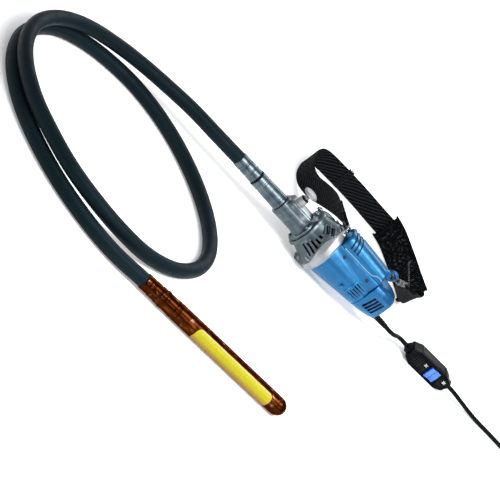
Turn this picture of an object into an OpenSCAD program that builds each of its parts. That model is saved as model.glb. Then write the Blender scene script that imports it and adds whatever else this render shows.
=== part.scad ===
// Portable electric concrete vibrator: a hand-carried motor unit, a flexible drive hose,
// a steel poker head with a spinning eccentric weight, a shoulder strap and a mains lead.
// Millimetres, +Z up, floor at z = 0. The motor axis runs along +X above the X axis,
// and the origin is the middle of the rest foot under the fan housing.

/* [Motor unit] */
// Height of the motor axis above the floor
axis_z = 54; // [54:0.5:56]
// Outer radius of the fan housing's rear flange
flange_r = 52.5; // [52:0.1:53]
// Outer radius of the motor housing where it meets the fan housing
barrel_front_r = 46; // [45:0.5:47]
// Outer radius of the motor housing where it meets the rear cover
barrel_rear_r = 33; // [32.5:0.1:33.5]
// Wall thickness of the plastic shells
shell_wall = 3; // [2.5:0.1:3.2]

/* [Drive hose] */
// Outer radius of the rubber drive hose
hose_r = 14.5; // [14:0.1:14.6]
// Bore radius of the rubber drive hose
hose_bore_r = 9; // [8.5:0.1:9.5]
// Radius of the flexible steel core that turns in the hose
core_r = 6.5; // [5:0.1:7]

/* [Poker] */
// Outer radius of the poker tube
poker_r = 18; // [17.5:0.1:18]
// Bore radius of the poker tube
poker_bore_r = 14; // [13.5:0.1:14]
// Length of the poker tube
poker_tube_l = 258; // [250:1:265]
// Radius of the eccentric weight
weight_r = 12.6; // [11:0.1:12.8]

/* [Strap] */
// Width of the strap webbing
webbing_w = 50; // [45:1:52]
// Thickness of the strap webbing
webbing_t = 3; // [2.5:0.1:3.2]
// Width of the shoulder pad
pad_w = 70; // [64:1:72]
// Thickness of the shoulder pad
pad_t = 11; // [8:1:12]

/* [Mains lead] */
// Radius of the mains lead
lead_r = 4.5; // [4:0.1:4.6]
// Turns side by side in the stored coil
coil_columns = 4; // [3:1:4]
// Layers of turns in the stored coil
coil_layers = 2; // [2:1:2]
// Radius of the coil at the middle of its turns
coil_mid_r = 50; // [48:0.5:52]
// Radius of the plug's pins
plug_pin_r = 2.4; // [2:0.05:2.4]

/* [Hidden] */
$fn = 64;
eps = 0.01;
blend_fn = 32;

// Stations of the motor unit along X, from the hose to the rear
hose_x = -228;
coupler_x = -174;
neck_x = -106;
plug_in_x = -62;
flange_x = -35;
barrel_x = 28;
rear_x = 141;
tail_x = 186;

bolt_circle_r = 49.2;
foot_w = 26;
coupler_bore_r = 18.55;
coupler_r = 18.5;
shaft_r = 6;
front_bearing_x = -30;
rear_bearing_x = 164;
front_bearing_l = 12;
rear_bearing_l = 9;

// Lock plunger on the neck
lock_x = -83;
lock_top = 100;
pin_r = 3;
spring_wire_r = 0.7;
spring_r = 5;
spring_turns = 6;

// Strap fittings
bracket_x = 16;
bracket_z = 108;
bracket_screw_xs = [bracket_x - 6.5, bracket_x + 6.5];
bail_z = bracket_z + 11;
eyelet_x = 151;
eyelet_z = 123;
eyelet_hole_r = 5.5;
lug_t = 8;
hook_wire_r = 2.6;
hook_r = 10.5;
hook_pos = [eyelet_x + hook_r, 0, eyelet_z];
gate_start = -40;
gate_end = -100;
gate_r = 1.8;
ring_r = 10;
ring_wire_r = 2;

// Seam between the motor housing and its top cover
seam_z = 100;
seam_gap = 0.2;
shoulder_z = 56;
cover_front_w = 60;
cover_rear_w = 56;

// Lead outlet at the rear and its grommet
outlet_z = 39;
outlet_x = 193;
grommet_l = 35;
grommet_r = 6.5;

// In-line switch, lying on the floor with its rocker facing -Y
switch_pos = [374, 66, 20];
switch_heading = 6;
switch_flat_l = 75;
switch_body_l = 112;
switch_l = 130;
switch_h = 40;
switch_end_h = 24;
switch_d = 34;
switch_wall = 3;
rocker_w = 26;
rocker_h = 26;
rocker_tilt = 8;
rocker_x = 14;
rocker_y = 4 - switch_d / 2;
rocker_pin_r = 1.2;
rocker_pin_l = 32.4;

// Stored coil and plug
coil_pos = [720, 160];
turn_gap = 0.2;
turn_pitch = 2 * lead_r + turn_gap;
coil_in_r = coil_mid_r - turn_pitch * coil_columns / 2;
coil_out_r = coil_mid_r + turn_pitch * coil_columns / 2;
coil_h = turn_pitch * coil_layers;
coil_edge_r = coil_out_r - turn_pitch / 2;
plug_pos = [coil_pos[0] + coil_edge_r, 226, 13];
plug_l = 48;
plug_w = 36;
pin_l = 19;
pin_spacing = 19;

// Poker frame: its rear end, its direction on the floor and its lengths
poker_start = [-320, -603, poker_r];
poker_heading = 6.3;
poker_dir = [cos(poker_heading), sin(poker_heading), 0];
adapter_l = 48;
sleeve_l = 36;
poker_tube_x = adapter_l + sleeve_l;
tip_l = 26;
label_t = 0.15;
weight_x = 132;
weight_l = 150;
poker_bearing_l = 11;
poker_bearing_r = 13.95;
poker_shaft_r = 5;

// Centre line of the drive hose, from the motor to the poker: one turn laid on another
hose_route = [
    [hose_x, 0, 54], [-290, 0, 53], [-360, 5, 50], [-430, 0, 46.5], [-500, -15, 45],
    [-565, -40, 44.5], [-625, -75, 44.5], [-675, -125, 44.5], [-710, -185, 44.5],
    [-730, -255, 44.5], [-730, -330, 44.5], [-710, -400, 44.5], [-670, -465, 44.5],
    [-615, -515, 44.5], [-550, -555, 44], [-475, -570, 40], [-400, -557, 30],
    [-330, -525, 19], [-265, -475, 14.5], [-220, -405, 14.5], [-205, -325, 14.5],
    [-220, -245, 14.5], [-260, -170, 14.5], [-320, -105, 14.5], [-390, -60, 14.5],
    [-465, -40, 14.5], [-535, -45, 14.5], [-605, -70, 14.5], [-665, -115, 14.5],
    [-705, -175, 14.5], [-730, -250, 14.5], [-730, -330, 14.5], [-710, -400, 14.5],
    [-670, -468, 14.5], [-612, -525, 14.5], [-540, -570, 14.5], [-460, -598, 14.5],
    [-390, -608, 15.5], poker_start
];
hose_rings = 56;
hose_sides = 12;
core_sides = 8;
core_end_r = 5.8;

// Centre line of the mains lead, from the grommet to the switch
lead_route = [
    [outlet_x + grommet_l, 0, outlet_z], [245, 4, 37], [259, 14, 34], [269, 30, 29.5],
    [279, 45, 25], [293, 56, 21.5], switch_end(-1)
];
lead_rings = 6;

// Centre line of the mains lead, from the switch to the stored coil
coil_entry_y = coil_pos[1] - coil_edge_r;
supply_route = [
    switch_end(1), [460, 76, 18], [490, 82, 13], [520, 88, 8], [550, 93, 5],
    [590, coil_entry_y, lead_r], [645, coil_entry_y, lead_r], [700, coil_entry_y, lead_r]
];
supply_rings = 11;
tail_z = coil_h - turn_pitch / 2;
tail_route = [
    [plug_pos[0], coil_pos[1], tail_z], [plug_pos[0], 182, tail_z],
    [plug_pos[0], 204, plug_pos[2]], plug_pos
];
tail_rings = 4;
lead_sides = 10;

// Strap centre line on the floor and up to its two fittings: [x, y, height of the middle,
// lean of the webbing from upright, in degrees towards the front]
strap_route = [
    [13, 28, 119, 64], [8, 52, 113, 58], [3, 82, 104, 50], [-1, 115, 92, 42],
    [-6, 150, 76, 34], [-14, 185, 58, 26], [-26, 222, 38, 14], [-40, 258, 27, 2],
    [-48, 292, 25, 0], [-47, 328, 25, 0], [-40, 362, 25, 0], [-24, 388, 25, 0],
    [0, 398, 25, 0], [35, 402, 25, 0], [70, 404, 25, 0], [110, 404, 25, 0],
    [150, 398, 26, 0], [185, 386, 30, 0], [212, 368, 35, 0], [230, 345, 35, 0],
    [246, 320, 35, 0], [262, 295, 35, 0], [277, 268, 35, 0], [290, 240, 35, 4],
    [291, 212, 38, 12], [279, 185, 45, 22], [263, 158, 56, 32], [246, 128, 70, 40],
    [230, 98, 84, 48], [217, 68, 97, 56], [206, 44, 108, 63], [196, 27, 117, 68]
];
strap_steps = 125;
pad_first = 17;
pad_last = 24.5;
pad_steps = 31;
pad_gap = 2.4;
pad_lowest_z = pad_w / 2 + 0.3;

// Vector helpers
function unit(v) = v / norm(v);
function on_circle(r, a) = [r * cos(a), r * sin(a)];

// Point and tangent on a Catmull-Rom curve through a list of points, at a real index t
function knot(pts, i) =
    i < 0 ? 2 * pts[0] - pts[1] :
    i > len(pts) - 1 ? 2 * pts[len(pts) - 1] - pts[len(pts) - 2] : pts[i];
function segment(pts, t) = min(floor(t), len(pts) - 2);
function spline(pts, t) =
    let (i = segment(pts, t), u = t - i)
    let (a = knot(pts, i - 1), b = knot(pts, i), c = knot(pts, i + 1), d = knot(pts, i + 2))
    0.5 * (2 * b + (c - a) * u + (2 * a - 5 * b + 4 * c - d) * u * u
        + (3 * b - a - 3 * c + d) * u * u * u);
function slope(pts, t) =
    let (i = segment(pts, t), u = t - i)
    let (a = knot(pts, i - 1), b = knot(pts, i), c = knot(pts, i + 1), d = knot(pts, i + 2))
    0.5 * ((c - a) + 2 * (2 * a - 5 * b + 4 * c - d) * u + 3 * (3 * b - a - 3 * c + d) * u * u);

// One ring of points round a centre line, square to its direction
function ring(c, dir, r, sides) =
    let (side = unit(cross(dir, [0, 0, 1])), up = cross(side, dir))
    [for (k = [0 : sides - 1]) let (a = 360 * k / sides) c + r * (cos(a) * side + sin(a) * up)];
function rings(pts, first_dir, last_dir, n, r, sides) = [
    for (i = [0 : n - 1])
    let (t = (len(pts) - 1) * i / (n - 1))
    let (dir = i == 0 ? first_dir : i == n - 1 ? last_dir : unit(slope(pts, t)))
    each ring(spline(pts, t), unit(dir), r, sides)
];
function wall_faces(n, sides, base, flip) = [
    for (i = [0 : n - 2]) for (k = [0 : sides - 1])
    let (a = base + i * sides + k, b = base + i * sides + (k + 1) % sides)
    let (c = a + sides, d = b + sides)
    each flip ? [[a, b, d], [a, d, c]] : [[a, d, b], [a, c, d]]
];
function disc_faces(sides, base, flip) = [
    for (k = [1 : sides - 2])
    flip ? [base, base + k, base + k + 1] : [base, base + k + 1, base + k]
];
function annulus_faces(sides, outer, inner, flip) = [
    for (k = [0 : sides - 1])
    let (a = outer + k, b = outer + (k + 1) % sides, c = inner + k, d = inner + (k + 1) % sides)
    each flip ? [[a, b, d], [a, d, c]] : [[a, d, b], [a, c, d]]
];

// Solid tube and hollow tube swept along a route
module swept_rod(pts, first_dir, last_dir, n, r, sides) {
    polyhedron(
        points = rings(pts, first_dir, last_dir, n, r, sides),
        faces = concat(
            wall_faces(n, sides, 0, true),
            disc_faces(sides, 0, false),
            disc_faces(sides, (n - 1) * sides, true)
        )
    );
}
module swept_hose(pts, first_dir, last_dir, n, r, bore, sides) {
    count = n * sides;
    polyhedron(
        points = concat(
            rings(pts, first_dir, last_dir, n, r, sides),
            rings(pts, first_dir, last_dir, n, bore, sides)
        ),
        faces = concat(
            wall_faces(n, sides, 0, true),
            wall_faces(n, sides, count, false),
            annulus_faces(sides, 0, count, false),
            annulus_faces(sides, count - sides, 2 * count - sides, true)
        )
    );
}

// Flat band swept along a route of [x, y, z, lean], and lifted off it along its face
function band_ring(q, dir, w, t, lift) =
    let (side = unit(cross([dir[0], dir[1], 0], [0, 0, 1])))
    let (lean = unit(cos(q[3]) * [0, 0, 1] - sin(q[3]) * side))
    let (run = unit([dir[0], dir[1], dir[2]]))
    let (edge = unit(lean - (lean * run) * run), face = unit(cross(run, edge)))
    let (c = [q[0], q[1], q[2]] + lift * face)
    [c - w / 2 * edge - t / 2 * face, c + w / 2 * edge - t / 2 * face,
     c + w / 2 * edge + t / 2 * face, c - w / 2 * edge + t / 2 * face];
module swept_band(pts, t0, t1, n, w, t) {
    polyhedron(
        points = [
            for (i = [0 : n - 1]) let (s = t0 + (t1 - t0) * i / (n - 1))
            each band_ring(spline(pts, s), slope(pts, s), w, t, 0)
        ],
        faces = concat(
            wall_faces(n, 4, 0, true),
            disc_faces(4, 0, false),
            disc_faces(4, (n - 1) * 4, true)
        )
    );
}

// Places children with their +Z along the motor axis, starting at x
module on_axis(x) {
    translate([x, 0, axis_z])
    rotate([0, 90, 0])
    children();
}
module tube(h, r_out, r_in) {
    difference() {
        cylinder(h = h, r = r_out);
        translate([0, 0, -1])
        cylinder(h = h + 2, r = r_in);
    }
}
// Places children in the poker's frame: +X from its rear end towards its tip
module in_poker() {
    translate(poker_start)
    rotate([0, 0, poker_heading])
    children();
}
module poker_axis(x) {
    in_poker()
    translate([x, 0, 0])
    rotate([0, 90, 0])
    children();
}
module in_switch() {
    translate(switch_pos)
    rotate([0, 0, switch_heading])
    children();
}
function switch_end(s) =
    switch_pos + s * switch_l / 2 * [cos(switch_heading), sin(switch_heading), 0];

// Four thin discs that outline a shell's cross-section at x, for a hull
module shell_section(x, w, z0, z1, r_low, r_top) {
    for (s = [-1, 1]) {
        translate([x, s * (w / 2 - r_low), z0 + r_low])
        rotate([0, 90, 0])
        cylinder(h = 1, r = r_low, $fn = blend_fn);
        translate([x, s * (w / 2 - r_top), z1 - r_top])
        rotate([0, 90, 0])
        cylinder(h = 1, r = r_top, $fn = blend_fn);
    }
}

// ---------------------------------------------------------------- fan housing and neck

slot_angles = [-13.5, 0, 13.5, 27, 40.5];
slot_ranges = [[-24, 3], [-21, 3], [-19, 1], [-15, -2], [-15, -7]];
slot_h = 5;

module fan_housing() {
    color("darkgray")
    difference() {
        union() {
            translate([0, 0, axis_z])
            rotate([90, 0, 90])
            rotate_extrude()
            polygon([
                [0, flange_x], [36, flange_x], [38, flange_x + 2], [39, -16], [41, -10],
                [48, 4], [flange_r, 12], [flange_r, 25], [flange_r - 3, barrel_x],
                [0, barrel_x]
            ]);
            // moulded rest foot
            translate([-4, -foot_w / 2, 0])
            cube([30, foot_w, 12]);
            // raised crown behind the hose lock
            translate([0, 14, 82])
            rotate([90, 0, 90])
            rotate_extrude()
            polygon([
                [0, flange_x], [14, flange_x], [21, -31], [25, -22], [25, 14], [20, 20], [0, 20]
            ]);
            // strap bracket pad on top
            translate([4, -13, axis_z + 40])
            cube([24, 26, 14]);
        }
        // fan chamber, open to the motor
        translate([0, 0, axis_z])
        rotate([90, 0, 90])
        rotate_extrude()
        polygon([
            [0, -17], [33, -17], [35, -12], [43, 4], [46, 12], [46, barrel_x + 1],
            [0, barrel_x + 1]
        ]);
        // front bearing seat and drive passage
        on_axis(front_bearing_x)
        cylinder(h = 20, r = 17);
        on_axis(flange_x - 1)
        cylinder(h = 20, r = 14);
        // air slots on both sides
        for (side = [-1, 1])
        for (i = [0 : len(slot_angles) - 1])
        translate([slot_ranges[i][0], 0, axis_z])
        rotate([side < 0 ? 180 - slot_angles[i] : slot_angles[i], 0, 0])
        translate([0, 20, -slot_h / 2])
        cube([slot_ranges[i][1] - slot_ranges[i][0], 40, slot_h]);
        // holes for the four through bolts of the motor housing
        for (a = [45 : 90 : 315])
        on_axis(18)
        translate(concat(on_circle(bolt_circle_r, a), 0))
        cylinder(h = 12, r = 1.9);
        // holes for the strap bracket's screws
        for (x = bracket_screw_xs)
        translate([x, 0, axis_z + 42])
        cylinder(h = 20, r = 2);
    }
}

module drive_neck() {
    color("darkgray")
    difference() {
        union() {
            on_axis(neck_x)
            cylinder(h = flange_x - neck_x, r = 23);
            on_axis(neck_x + 58)
            cylinder(h = flange_x - neck_x - 58, r1 = 23, r2 = 30);
            on_axis(flange_x - 6)
            cylinder(h = 6, r = 34);
            for (a = [30 : 60 : 330])
            on_axis(flange_x - 6)
            translate(concat(on_circle(31, a), 0))
            cylinder(h = 6, r = 5.5);
            // flat-topped saddle with a bevelled front end
            translate([0, 18, 0])
            rotate([90, 0, 0])
            linear_extrude(36)
            polygon([
                [neck_x, 66], [neck_x + 10, 82], [flange_x, 82], [flange_x, 60], [neck_x, 60]
            ]);
        }
        on_axis(neck_x - 1)
        cylinder(h = plug_in_x - neck_x + 1, r = coupler_bore_r);
        on_axis(plug_in_x - 1)
        cylinder(h = 30, r = 14);
        translate([lock_x, 0, axis_z])
        cylinder(h = 40, r = 6.5);
        for (a = [30 : 60 : 330])
        on_axis(flange_x - 12)
        translate(concat(on_circle(31, a), 0)) {
            cylinder(h = 14, r = 2.1);
            cylinder(h = 6, r = 4);
        }
    }
}

module neck_screws() {
    color("silver")
    for (a = [30 : 60 : 330])
    on_axis(flange_x - 6)
    translate(concat(on_circle(31, a), 0)) {
        translate([0, 0, -3.5])
        difference() {
            cylinder(h = 3.5, r = 3.6);
            translate([0, 0, -1])
            cylinder(h = 3, r = 1.8, $fn = 6);
        }
        cylinder(h = 6, r = 2);
    }
}

module housing_bolts() {
    color("silver")
    for (a = [45 : 90 : 315])
    on_axis(19)
    translate(concat(on_circle(bolt_circle_r, a), 0)) {
        cylinder(h = barrel_x + 5 - 19, r = 1.8);
        translate([0, 0, barrel_x + 5 - 19])
        cylinder(h = 3, r = 3.2);
    }
}

module strap_bracket() {
    color("silver") {
        difference() {
            translate([bracket_x - 10, -12, bracket_z])
            cube([20, 24, 3]);
            for (x = bracket_screw_xs)
            translate([x, 0, bracket_z - 1])
            cylinder(h = 5, r = 1.8);
        }
        // bail that the strap ring hangs in
        translate([bracket_x - 2, 0, bail_z])
        rotate([90, 0, 90])
        linear_extrude(4)
        difference() {
            union() {
                circle(r = 9);
                translate([-9, -8 - eps])
                square([18, 8]);
            }
            circle(r = 5.5);
        }
        for (x = bracket_screw_xs)
        translate([x, 0, bracket_z - 8]) {
            cylinder(h = 11, r = 1.95);
            translate([0, 0, 11])
            cylinder(h = 2, r = 3.4);
        }
    }
}

// ---------------------------------------------------------------- hose lock

module lock_boss() {
    color("silver")
    translate([lock_x, 0, 0])
    difference() {
        union() {
            translate([0, 0, 82])
            cylinder(h = lock_top - 82, r1 = 11, r2 = 9);
            translate([0, 0, 73])
            cylinder(h = 9 + eps, r = 6.45);
        }
        translate([0, 0, 70])
        cylinder(h = lock_top - 73, r = 6);
        translate([0, 0, 70])
        cylinder(h = 40, r = pin_r + 0.05);
    }
}

module lock_pin() {
    color("gainsboro")
    translate([lock_x, 0, 0]) {
        translate([0, 0, 68.5])
        cylinder(h = 113 - 68.5, r = pin_r);
        translate([0, 0, 79])
        cylinder(h = 2, r = 5.9);
    }
}

module lock_knob() {
    color("silver")
    translate([lock_x, 0, 0])
    difference() {
        rotate_extrude()
        polygon([
            [0, lock_top + 1], [5.5, lock_top + 1], [4.6, 105], [6.5, 109], [14, 111.5],
            [16.5, 113.5], [16.5, 116], [15, 117.5], [11, 118.5], [0, 118.5]
        ]);
        cylinder(h = 113, r = pin_r + 0.02);
    }
}

module lock_spring() {
    color("dimgray")
    translate([lock_x, 0, 0])
    for (i = [0 : spring_turns - 1])
    translate([0, 0, 82 + i * 2.6])
    rotate_extrude()
    translate([spring_r - 0.3, 0])
    circle(r = spring_wire_r, $fn = 16);
}

// ---------------------------------------------------------------- hose and its fittings

module hose_coupler() {
    color("silver")
    translate([0, 0, axis_z])
    rotate([90, 0, 90])
    rotate_extrude()
    polygon([
        [8, coupler_x], [16.6, coupler_x], [16.8, coupler_x + 1], [17, -170], [18, neck_x - 6],
        [coupler_r, neck_x - 4], [coupler_r, lock_x - 5], [13.5, lock_x - 5],
        [13.5, lock_x + 5], [coupler_r, lock_x + 5], [coupler_r, plug_in_x - 3],
        [17, plug_in_x - 1.5], [8, plug_in_x - 1.5]
    ]);
}

module hose_ferrule() {
    color("silver")
    translate([0, 0, axis_z])
    rotate([90, 0, 90])
    rotate_extrude()
    polygon([
        [hose_bore_r, hose_x], [15.2, hose_x], [15.6, hose_x + 1.5], [15.6, -212],
        [15.2, -210], [15.6, -208], [15.6, -196], [15.2, -194], [15.8, -192],
        [16, -178], [15.2, coupler_x - 1], [15.2, coupler_x], [hose_bore_r, coupler_x]
    ]);
}

module coupler_seal() {
    color("black")
    on_axis(coupler_x - 3)
    tube(3, 17.4, 16.05);
}

module drive_hose() {
    color("#1b2227")
    swept_hose(hose_route, [-1, 0, 0], poker_dir, hose_rings, hose_r, hose_bore_r, hose_sides);
}

module flex_core() {
    color("dimgray") {
        swept_rod(hose_route, [-1, 0, 0], poker_dir, hose_rings, core_r, core_sides);
        on_axis(hose_x - 5)
        cylinder(h = plug_in_x - 2 - hose_x + 5, r = core_end_r);
        on_axis(plug_in_x - 3)
        cylinder(h = 11, r = 3.4);
        poker_axis(-5)
        cylinder(h = weight_x - poker_bearing_l - 1, r = poker_shaft_r);
    }
}

// ---------------------------------------------------------------- motor shells

module motor_housing() {
    color("royalblue")
    difference() {
        union() {
            on_axis(barrel_x)
            cylinder(h = rear_x - barrel_x, r1 = barrel_front_r, r2 = barrel_rear_r);
            // shoulders that carry the top cover
            hull() {
                translate([barrel_x, -cover_front_w / 2, shoulder_z])
                cube([1, cover_front_w, seam_z - shoulder_z]);
                translate([rear_x - 1, -cover_rear_w / 2, shoulder_z])
                cube([1, cover_rear_w, seam_z - shoulder_z]);
            }
            on_axis(barrel_x)
            cylinder(h = 5, r = flange_r - 2);
        }
        on_axis(barrel_x - 1)
        cylinder(
            h = rear_x - barrel_x + 2,
            r1 = barrel_front_r - shell_wall,
            r2 = barrel_rear_r - shell_wall
        );
        translate([barrel_x - 1, shell_wall - cover_rear_w / 2, 75])
        cube([rear_x - barrel_x + 2, cover_rear_w - 2 * shell_wall, 40]);
        // everything above the seam belongs to the top cover
        translate([barrel_x - 1, -flange_r, seam_z])
        cube([rear_x - barrel_x + 2, 2 * flange_r, 20]);
        for (a = [45 : 90 : 315])
        on_axis(barrel_x - 1)
        translate(concat(on_circle(bolt_circle_r, a), 0))
        cylinder(h = 7, r = 1.9);
    }
}

module top_cover() {
    color("royalblue")
    difference() {
        union() {
            hull() {
                shell_section(barrel_x + 2, cover_front_w, seam_z - 1, 130.5, 1, 16);
                shell_section(rear_x - 1, cover_rear_w, seam_z - 1, 124, 1, 14);
            }
            // lug for the rear snap hook
            translate([eyelet_x, lug_t / 2, eyelet_z])
            rotate([90, 0, 0])
            cylinder(h = lug_t, r = 11.5);
            translate([rear_x - 12, -lug_t / 2, 106])
            cube([22, lug_t, 17]);
        }
        translate([barrel_x, -cover_front_w, seam_z - 5])
        cube([rear_x - barrel_x + 5, 2 * cover_front_w, 5 + seam_gap]);
        hull() {
            shell_section(barrel_x + 2 + shell_wall, cover_front_w - 2 * shell_wall,
                seam_z - 2, 127.5, 1, 13);
            shell_section(rear_x - 1 - shell_wall, cover_rear_w - 2 * shell_wall,
                seam_z - 2, 121, 1, 11);
        }
        translate([eyelet_x, 6, eyelet_z])
        rotate([90, 0, 0])
        cylinder(h = 12, r = eyelet_hole_r);
    }
}

rear_slot_xs = [164, 170, 176, 182];
rear_side = [
    [rear_x + 0.1, 21.2], [164, 24], [tail_x, 29.5], [tail_x + 8, 40], [tail_x + 8, 91],
    [tail_x + 6, 95], [tail_x, 97], [164, 100.8], [rear_x + 0.1, 100.8]
];
rear_plan = [[rear_x + 0.1, 34], [164, 32], [tail_x, 26], [tail_x + 8, 20]];

rear_half_end = [[10, 20], [20, 25], [29, 36], [34.3, 52], [34.3, 88], [30, 96], [22, 101.5]];

// Outline that is the same on both sides of its middle, from its right half
function both_sides(half) = [
    each half, for (i = [len(half) - 1 : -1 : 0]) [-half[i][0], half[i][1]]
];

// Body of the rear cover: its side view, plan and end view cut each other
module rear_block() {
    intersection() {
        translate([0, 40, 0])
        rotate([90, 0, 0])
        linear_extrude(80)
        polygon(rear_side);
        rotate([0, 0, 90])
        mirror([0, 1, 0])
        linear_extrude(120)
        polygon(both_sides([for (q = rear_plan) [q[1], q[0]]]));
        translate([rear_x, 0, 0])
        rotate([90, 0, 90])
        linear_extrude(tail_x + 10 - rear_x)
        polygon(both_sides(rear_half_end));
    }
}

module rear_cover() {
    color("royalblue")
    difference() {
        rear_block();
        // motor end, where the brush gear and the rear bearing sit
        on_axis(rear_x - 1)
        cylinder(h = 28, r = 27.5);
        translate([rear_x - 1, -27, axis_z])
        cube([28, 54, 43]);
        translate([167, -22, 34.5])
        cube([tail_x - 167, 44, 58]);
        // air inlet slots on both sides
        for (x = rear_slot_xs)
        for (s = [-1, 1])
        translate([x, s * 28, 48])
        rotate([0, 8, 0])
        translate([0, -10, 0])
        cube([3.2, 20, 28]);
        // lead outlet
        translate([tail_x - 14, 0, outlet_z])
        rotate([0, 90, 0])
        cylinder(h = 40, r = grommet_r + 0.1);
    }
}

module cover_screws() {
    color("silver")
    for (s = [-1, 1])
    for (x = [52, 118])
    translate([x, s * (28.7 - (x - barrel_x) * 0.018), 88])
    rotate([s * -90, 0, 0]) {
        cylinder(h = 2.8, r = 3.6);
        translate([0, 0, -9])
        cylinder(h = 9, r = 2);
    }
}

module bearing_bridge() {
    color("#303438")
    difference() {
        union() {
            on_axis(rear_bearing_x - 3)
            cylinder(h = rear_bearing_l + 6, r = 16);
            translate([rear_bearing_x - 3, -27, axis_z - 4])
            cube([6, 54, 8]);
            translate([rear_bearing_x - 3, -4, axis_z - 22])
            cube([6, 8, 60]);
        }
        on_axis(rear_bearing_x)
        cylinder(h = rear_bearing_l + 10, r = 13);
        on_axis(rear_bearing_x - 10)
        cylinder(h = 30, r = 8);
    }
}

// ---------------------------------------------------------------- motor internals

module bearing(h, r_out, r_in) {
    color("silver") {
        tube(h, r_out, r_out - 2.6);
        tube(h, r_in + 2.4, r_in);
        color("dimgray")
        translate([0, 0, h * 0.15])
        tube(h * 0.7, r_out - 2.6 + eps, r_in + 2.4 - eps);
    }
}
module front_bearing() {
    on_axis(front_bearing_x)
    bearing(front_bearing_l, 16.95, shaft_r + 0.05);
}
module rear_bearing() {
    on_axis(rear_bearing_x)
    bearing(rear_bearing_l, 12.95, 5.05);
}
module armature_shaft() {
    color("gainsboro")
    on_axis(-50) {
        cylinder(h = 196, r = shaft_r);
        translate([0, 0, 196 - eps])
        cylinder(h = 28, r = 5);
    }
}
module armature_core() {
    color("peru")
    on_axis(42)
    difference() {
        cylinder(h = 56, r = 19);
        translate([0, 0, -1])
        cylinder(h = 60, r = shaft_r);
        for (a = [0 : 30 : 330])
        rotate([0, 0, a])
        translate([16, -1, -1])
        cube([5, 2, 60]);
    }
}
module commutator() {
    color("chocolate")
    on_axis(108)
    difference() {
        cylinder(h = 22, r = 15);
        translate([0, 0, -1])
        cylinder(h = 30, r = shaft_r);
    }
}
module cooling_fan() {
    color("#4a4d50")
    on_axis(-12)
    difference() {
        union() {
            cylinder(h = 18, r = 9);
            translate([0, 0, 12])
            cylinder(h = 2, r = 34);
            for (a = [0 : 40 : 320])
            rotate([0, 0, a])
            translate([8, -1, 3])
            cube([24, 2, 10]);
        }
        translate([0, 0, -1])
        cylinder(h = 30, r = shaft_r);
    }
}
module drive_dog() {
    color("silver")
    on_axis(-58)
    difference() {
        cylinder(h = 18, r = 11);
        translate([0, 0, 8])
        cylinder(h = 20, r = shaft_r);
        translate([0, 0, -1])
        cylinder(h = 7, r = 5, $fn = 4);
    }
}
module stator_core() {
    color("slategray")
    on_axis(42)
    difference() {
        cylinder(h = 50, r = 34.5);
        translate([0, 0, -1])
        cylinder(h = 60, r = 20);
        for (s = [-1, 1])
        translate([-13, s * 24.5 - 5, -1])
        cube([26, 10, 60]);
    }
}
module field_coils() {
    color("peru")
    for (s = [-1, 1])
    on_axis(36)
    translate([-12.5, s * 24.5 - 4.5, 0])
    cube([25, 9, 62]);
}
module air_baffle() {
    color("#303438")
    on_axis(22)
    tube(3, 45.6, 35);
}
module brush_holders() {
    color("goldenrod")
    for (s = [-1, 1])
    translate([113, s * 22 - 6, axis_z - 5])
    difference() {
        cube([12, 12, 10]);
        translate([2, -1, 2])
        cube([8, 14, 6]);
    }
}
module carbon_brushes() {
    color("#2a2a2c")
    for (s = [-1, 1])
    translate([115.2, s * 21.2 - 6, axis_z - 2.8])
    cube([7.6, 12, 5.6]);
}
module control_module() {
    color("darkgreen") {
        translate([48, -22, 103])
        cube([62, 44, 2]);
        translate([54, -16, 105])
        cube([18, 12, 9]);
        translate([80, -4, 105])
        cube([14, 16, 11]);
    }
}

// ---------------------------------------------------------------- poker

module poker_adapter() {
    color("saddlebrown")
    poker_axis(0)
    rotate_extrude()
    polygon([
        [hose_bore_r, 0], [15, 0], [15.8, 1.5], [15.8, 13], [15, 14.5], [16, 16], [16, 27],
        [15.2, 29], [16.6, 31], [16.8, adapter_l], [hose_bore_r, adapter_l]
    ]);
}
module poker_sleeve() {
    color("saddlebrown")
    poker_axis(adapter_l)
    rotate_extrude()
    polygon([
        [11, 0], [17.4, 0], [18, 1], [18, 3], [17, 4.5], [17.2, 26], [17.9, 28], [18, 33],
        [17.3, sleeve_l], [11, sleeve_l]
    ]);
}
module poker_tube() {
    color("saddlebrown")
    poker_axis(poker_tube_x)
    tube(poker_tube_l, poker_r, poker_bore_r);
}
module poker_tip() {
    color("saddlebrown")
    poker_axis(poker_tube_x + poker_tube_l)
    rotate_extrude()
    polygon([
        [0, 0], [poker_r, 0], [poker_r, 8], [poker_r - 1, 12], [poker_r - 4, 18],
        [poker_r - 8, 23], [poker_r - 12, tip_l], [0, tip_l]
    ]);
}
module poker_label() {
    color("gold")
    poker_axis(poker_tube_x + 48)
    intersection() {
        tube(194, poker_r + label_t, poker_r + 0.02);
        rotate([0, 0, -85])
        translate([8.5, -20, -1])
        cube([20, 40, 200]);
    }
}
module poker_bearings() {
    for (x = [weight_x - poker_bearing_l - 3, weight_x + weight_l + 3])
    poker_axis(x)
    bearing(poker_bearing_l, poker_bearing_r, poker_shaft_r + 0.05);
}
module eccentric_weight() {
    color("slategray")
    poker_axis(weight_x - poker_bearing_l - 4) {
        cylinder(h = weight_l + 2 * poker_bearing_l + 8, r = poker_shaft_r);
        translate([0, 0, poker_bearing_l + 4])
        intersection() {
            cylinder(h = weight_l, r = weight_r);
            translate([-1, -20, -1])
            cube([20, 40, weight_l + 2]);
        }
    }
}
module poker_seals() {
    color("black")
    for (x = [poker_tube_x + 2, poker_tube_x + 10])
    poker_axis(x)
    tube(6, poker_bore_r - 0.05, poker_shaft_r + 0.1);
}

// ---------------------------------------------------------------- strap

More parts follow.
